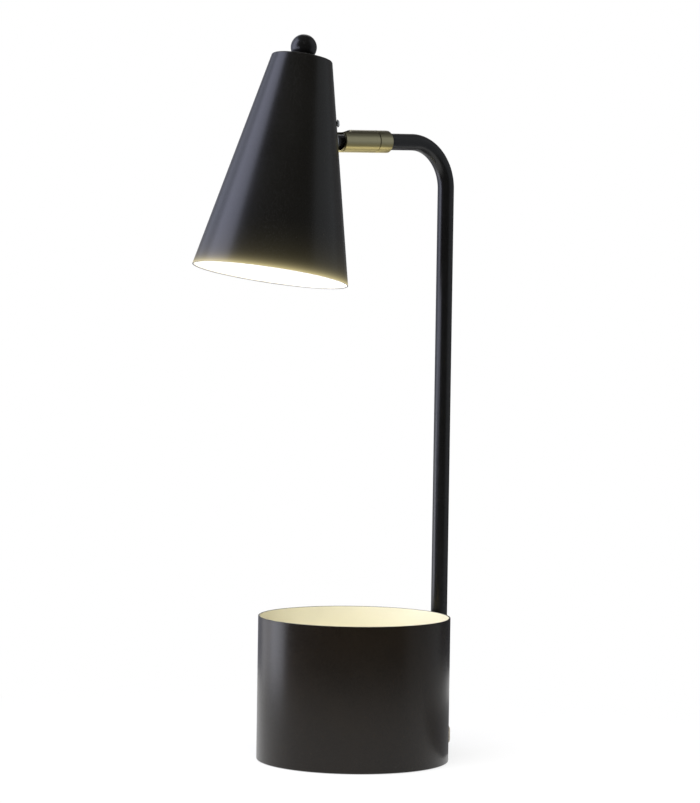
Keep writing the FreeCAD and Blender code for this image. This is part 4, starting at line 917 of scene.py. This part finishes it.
class LAMP_OT_ball(LampOperator):
    """Add the ball, the stem and its nuts, and finish the saddles on the stem"""
    bl_idname = "lamp.ball"
    bl_label = "Ball and stem"

    def execute(self, context):
        s = sizes()
        ball, seat = s["ball_radius"], 5.05
        low, high = (math.degrees(math.acos(r / ball)) for r in (BORE, seat))
        outline = [*arc((0, 0), ball, -low, high, 40), (seat, -1.0), (BORE, -1.0)]
        lathe("black_ball", outline, STEM, "ball", "joint_ball", powder_coat("ball_coat"))
        nut, start = 5.0, -0.9
        nut_low, inner_low = STEM_REACH - 1.3 - nut, STEM_REACH + 3.4
        end, low, high = inner_low + nut + 1.4, nut_low - 0.2, inner_low + nut + 0.9
        plain = eased([(BORE, start, 0), (THREAD, start, 0.3), (THREAD, low, 0)], 4, closed=False)
        piece("black_stem",
              open_tubes(spun(plain, 64), threaded(THREAD, 0.45, s["thread_pitch"], low, high),
                         spun([(4.55, high), (4.2, end), (BORE, end)], 64),
                         spun([(BORE, end), (BORE, start)], 64)),
              STEM, "shade", "joint_stem", powder_coat("stem_coat"))
        nickel = plated("nut_nickel", 0.24)
        for name, base, node in (("outer_nut", nut_low, "stem_nut"),
                                 ("inner_nut", inner_low, "stem_inner_nut")):
            piece(name, [(hexagon(7.5, nut, THREAD, base), True, True)], STEM, "shade", node,
                  nickel, sharp=25)
        dress("stem_saddle", powder_coat("saddle_coat"))
        dress("stem_inner_saddle", plated("saddle_zinc"))
        return {"FINISHED"}


class LAMP_OT_shade(LampOperator):
    """Add the cone shade and the ball on top of it"""
    bl_idname = "lamp.shade"
    bl_label = "Shade and finial"

    def execute(self, context):
        s = sizes()
        mouth, high, wall = s["shade_mouth"], s["shade_height"], s["shade_wall"]
        across, round_r, lip, hole = wall / math.cos(HALF), 1.8, 0.15, 2.0
        middle = s["shade_top"] - round_r * (1 - math.sin(HALF)) / math.cos(HALF)
        centre, degrees = (middle, high - round_r), math.degrees(HALF)
        top = arc(centre, round_r, degrees, 90, 10)
        under = arc(centre, round_r - wall, 90, degrees, 8)
        steps = np.linspace(0.0, 1.0, 56)[:, None] ** 1.9
        outer, inner = (np.array([start, lip]) * (1 - steps) + end * steps
                        for start, end in ((mouth, top[0]), (mouth - across, under[-1])))
        outline = np.concatenate([outer, top[1:], [(hole, high), (hole, high - wall)], under[:-1],
                                  inner[::-1], [(mouth - across + 0.2, 0.0), (mouth - 0.2, 0.0)]])
        z = outline[:, 1]
        within = np.arange(len(outline)) > len(outer) + len(top)
        # the mark for the painted glow on the outside, and 1 on the lining
        climb = np.where(within, 1.0, np.clip(z / GLOW_TOP, 0, 1))
        coat = powder_coat("shade_coat", "coat", "shade_lining", "painted_edge_glow")
        lathe("cone_shade", outline, SHADE, "shade", "shade_shell", coat, 192,
              marks={"lining": within & (z > 0.35), "glow": climb})
        r, rise = s["finial_radius"], 7.9
        ball = arc((0, high + rise), r, -math.degrees(math.asin(rise / r)), 90, 48)
        ball[-1, 0] = 0.0
        outline = [(0, high + 10), (hole, high + 10), (hole, high), *ball]
        lathe("black_finial", outline, SHADE, "shade", "finial", powder_coat("finial_coat"))
        dress("finial_screw", plated("finial_screw_zinc"))
        return {"FINISHED"}


class LAMP_OT_bracket(LampOperator):
    """Add the bracket's screws and nuts, and finish the bracket"""
    bl_idname = "lamp.bracket"
    bl_label = "Bracket"

    def execute(self, context):
        zinc = plated("bracket_zinc", 0.34)
        dress("holder_bracket", zinc)
        screw = screw_grids(3.1, 2.3, 1.45, 7.0, 1.15, 1.1, domed=True)
        nut = hexagon(3.1, 2.2, 1.5, 2.3, 72, 0.3)
        sides = [shade_screw(side) for side in (-1, 1)]
        piece("dome_screw_pair", open_tubes(*[placed(g, side) for side in sides for g in screw]),
              WORLD, "shade", "bracket_screws", plated("dome_screw_nickel", 0.22, (0.6, 0.6, 0.6)))
        piece("small_nut_pair", [(placed(nut, side), True, True) for side in sides], WORLD,
              "shade", "bracket_nuts", zinc, sharp=25)
        return {"FINISHED"}


CAP = [(17, 120, 0.3), (19, 120, 0.5), (19, 128, 1.6), (11.5, 144, 2.2), (5, 144, 0.2),
       (5, 137, 0.2), (8, 137, 0.2), (8, 142, 0.4), (9.5, 142, 0.8), (17, 128, 1.2)]
SKIRT = [(17, 88, 0.4), (19, 88, 0.7), (19, 120, 0.3), (16.9, 120, 0.2), (16.9, 126, 0.3),
         (15.4, 126, 0.3), (15.4, 117, 0.3), (14.1, 117, 0.3), (14.1, 115, 0.3), (17, 115, 0.4)]
SHELL_PITCH = 3.6  # of the thread that lampholder and bulb share


def ribbed_skirt():
    """The lampholder's skirt with 48 ribs: its wall sinks by 0.35 ((1 - cos 48 a) / 2)^1.5
    between them, and they fade over 1.5 mm at both ends."""
    a = ring(288)
    low, high, wall = 90.5, 117.5, 19.0
    outline = eased(SKIRT)
    extra = [(wall, z) for z in np.linspace(low, high, 24)[1:-1]]
    outline = np.insert(outline, np.argmax(outline[:, 1] > 110), extra, axis=0)
    r, z = outline.T[:, None, :]
    band = np.clip(np.minimum(z - low, high - 0.5 - z) / 1.5, 0, 1) * (r > wall - 0.1)
    return around(r - 0.35 * band * (0.5 - 0.5 * np.cos(a * 48)) ** 1.5, z, a)


class LAMP_OT_lampholder(LampOperator):
    """Add the lampholder with its nipple, nut, ribbed skirt and shell, and finish its core and
    contact
    """
    bl_idname = "lamp.lampholder"
    bl_label = "Lampholder"

    def execute(self, context):
        zinc = plated("holder_zinc")
        start, end = 137, 151.0
        bore = [(4.5, end), (4.2, end + 0.2), (BORE, end + 0.2), (BORE, start), (4.5, start)]
        piece("threaded_nipple",
              open_tubes(threaded(THREAD - 0.05, 0.4, 1.0, start, end), spun(bore, 64)),
              SHADE, "shade", "holder_nipple", zinc)
        piece("lock_nut", [(hexagon(8, 4, THREAD, 145.2), True, True)], SHADE, "shade",
              "holder_nut", zinc, sharp=25)
        white = moulded("holder_moulding", (0.74, 0.72, 0.66), 0.36, 1500, 0.02)
        lathe("holder_cap", eased(CAP), SHADE, "shade", "lampholder_cap", white, 128)
        piece("holder_skirt", [(ribbed_skirt(), True, True)], SHADE, "shade", "lampholder_skirt",
              white)
        dress("lampholder_core", moulded("core_glaze", (0.82, 0.80, 0.74), 0.2, 300, 0.02))
        brass = plated("shell_brass", 0.28, (0.62, 0.47, 0.20))
        outer, inner = (threaded(r, depth, SHELL_PITCH, 99, 117, 96, 16)
                        for r, depth in ((14.0, 0.45), (13.55, 0.30)))
        ends = [np.stack([outer[:, row], inner[:, row]], axis=1) for row in (0, -1)]
        piece("threaded_shell", open_tubes(outer, inner, *ends), SHADE, "shade",
              "lampholder_shell", brass)
        dress("lampholder_contact", brass)
        return {"FINISHED"}


GLOBE_Z, GLOBE_R, GLOBE_CUT = 62.4, 22.5, 9.0  # the globe's centre, radius and cut level


class LAMP_OT_bulb(LampOperator):
    """Add the lit bulb: threaded cap, housing and opal globe, and finish its emitter board"""
    bl_idname = "lamp.bulb"
    bl_label = "Bulb"

    def execute(self, context):
        foot, low, high = 92.4, 93.6, 107.5
        crown = eased([(12.35, high, 0), (12.2, 110.4, 1.0), (5.2, 113.8, 0.8), (0.01, 113.8, 0)],
                      closed=False)
        lines = ([(12.55, foot), (12.5, 92.9), (12.35, low)], crown, [(12.55, foot), (0.01, foot)])
        piece("bulb_screw_cap",
              open_tubes(threaded(13.1, 0.75, SHELL_PITCH, low, high, 96, 16),
                         *[spun(line, 96) for line in lines]),
              SHADE, "shade", "bulb_cap", plated("cap_nickel", 0.25, (0.60, 0.59, 0.56)))
        dress("bulb_contact", plated("contact_tin", 0.35, (0.55, 0.55, 0.56)))
        rim, level = math.sqrt(GLOBE_R ** 2 - GLOBE_CUT ** 2), GLOBE_Z + GLOBE_CUT
        swell = eased([(0, level, 0), (rim, level, 0.5), (13.8, foot, 3.0), (12.5, foot, 0.3),
                       (12.3, 93.4, 0.3), (0, 93.4, 0)], 8, closed=False)
        lathe("bulb_collar", swell, SHADE, "shade", "bulb_housing",
              moulded("collar_moulding", (0.84, 0.83, 0.80), 0.32, 900, 0.01), closed=False)
        dress("led_board", emitter_board("emitters"))
        glass = [arc((0, GLOBE_Z), r, -90, math.degrees(math.asin(GLOBE_CUT / r)), steps)
                 for r, steps in ((GLOBE_R, 44), (GLOBE_R - 1, 40))]
        outline = np.concatenate([glass[0], glass[1][::-1]])
        outline[[0, -1], 0] = 0.0
        lit = np.clip(1.15 - 0.35 * np.abs(outline[:, 1] - 55) / 20, 0, 1)
        lathe("opal_globe", outline, SHADE, "shade", "bulb_globe",
              opal("lit_opal", 7.0), closed=False, marks={"lit": lit})
        return {"FINISHED"}


def smooth_lead(name, corners, offset, place, body, node, finish):
    """One insulated lead: a smooth curve of the third order along its route's corners, drawn as
    a tube of 1 mm radius."""
    curve = bpy.data.curves.new(name, "CURVE")
    curve.dimensions = "3D"
    line = curve.splines.new("NURBS")
    line.points.add(len(corners) - 1)
    for point, (x, z) in zip(line.points, corners):
        point.co = (x * MM, offset * MM, z * MM, 1.0)
    line.order_u = 3
    line.use_endpoint_u = True
    line.resolution_u = 10
    curve.bevel_depth = 1.0 * MM
    curve.bevel_resolution = 4
    curve.use_fill_caps = True
    holder = add(name, curve)
    bpy.context.view_layer.update()
    drawn = holder.evaluated_get(bpy.context.evaluated_depsgraph_get())
    mesh = bpy.data.meshes.new_from_object(drawn)
    mesh.transform(place)
    bpy.data.objects.remove(holder)
    mesh.shade_smooth()
    mesh.materials.clear()
    settle(name, mesh, body, node, finish)


class LAMP_OT_leads(LampOperator):
    """Add the leads in the pole and in the shade"""
    bl_idname = "lamp.leads"
    bl_label = "Leads"

    def execute(self, context):
        pale = moulded("pale_insulation", (0.62, 0.60, 0.54), 0.45, 1200, 0.01)
        dark = moulded("dark_insulation", (0.02, 0.02, 0.02), 0.45, 1200, 0.01)
        pole = pole_line(20, 86.1, 16)[:, [0, 2]]
        riser, top = 21.6, 157.5
        shade = [(0, 137), (0, 146), (0, top), (riser / 2, top), (riser, top), (riser, 148),
                 (riser, 130)] + [(x, STEM_LEVEL + (x - STEM_WALL) * SLOPE) for x in
                                  (riser, riser + 10, STEM_WALL + 10 * math.cos(HALF))]
        for side, tag in ((1.3, "left"), (-1.3, "right")):
            smooth_lead("pole_lead_" + tag, pole, side, WORLD, "stand", "pole_leads", dark)
            smooth_lead("holder_lead_" + tag, shade, side, SHADE, "shade", "lampholder_leads", pale)
        return {"FINISHED"}


OPERATORS = [LAMP_OT_stage, LAMP_OT_pot, LAMP_OT_base, LAMP_OT_pole, LAMP_OT_pole_fixing,
             LAMP_OT_collar, LAMP_OT_sleeve, LAMP_OT_ball, LAMP_OT_shade, LAMP_OT_bracket,
             LAMP_OT_lampholder, LAMP_OT_bulb, LAMP_OT_leads]


class LAMP_PT_panel(bpy.types.Panel):
    """The lamp's pieces in the sidebar"""
    bl_idname = "LAMP_PT_panel"
    bl_label = "Desk lamp"
    bl_space_type = "VIEW_3D"
    bl_region_type = "UI"
    bl_category = "Lamp"

    def draw(self, context):
        column = self.layout.column()
        for operator in OPERATORS:
            column.operator(operator.bl_idname)
        for group in (context.scene.lamp_sizes, context.scene.lamp_colours):
            box = self.layout.box()
            for key in type(group).__annotations__:
                box.prop(group, key)


CLASSES = [LampSizes, LampColours, *OPERATORS, LAMP_PT_panel]


def register():
    """Register the classes and hang the two groups on the scene."""
    for item in CLASSES:
        bpy.utils.register_class(item)
    bpy.types.Scene.lamp_sizes = bpy.props.PointerProperty(type=LampSizes)
    bpy.types.Scene.lamp_colours = bpy.props.PointerProperty(type=LampColours)


def unregister():
    """Take the groups and the classes away again."""
    del bpy.types.Scene.lamp_sizes
    del bpy.types.Scene.lamp_colours
    for item in reversed(CLASSES):
        bpy.utils.unregister_class(item)


def main():
    """Build the stage and every piece."""
    register()
    for operator in OPERATORS:
        group, name = operator.bl_idname.split(".")
        getattr(getattr(bpy.ops, group), name)()


if __name__ == "__main__":
    main()
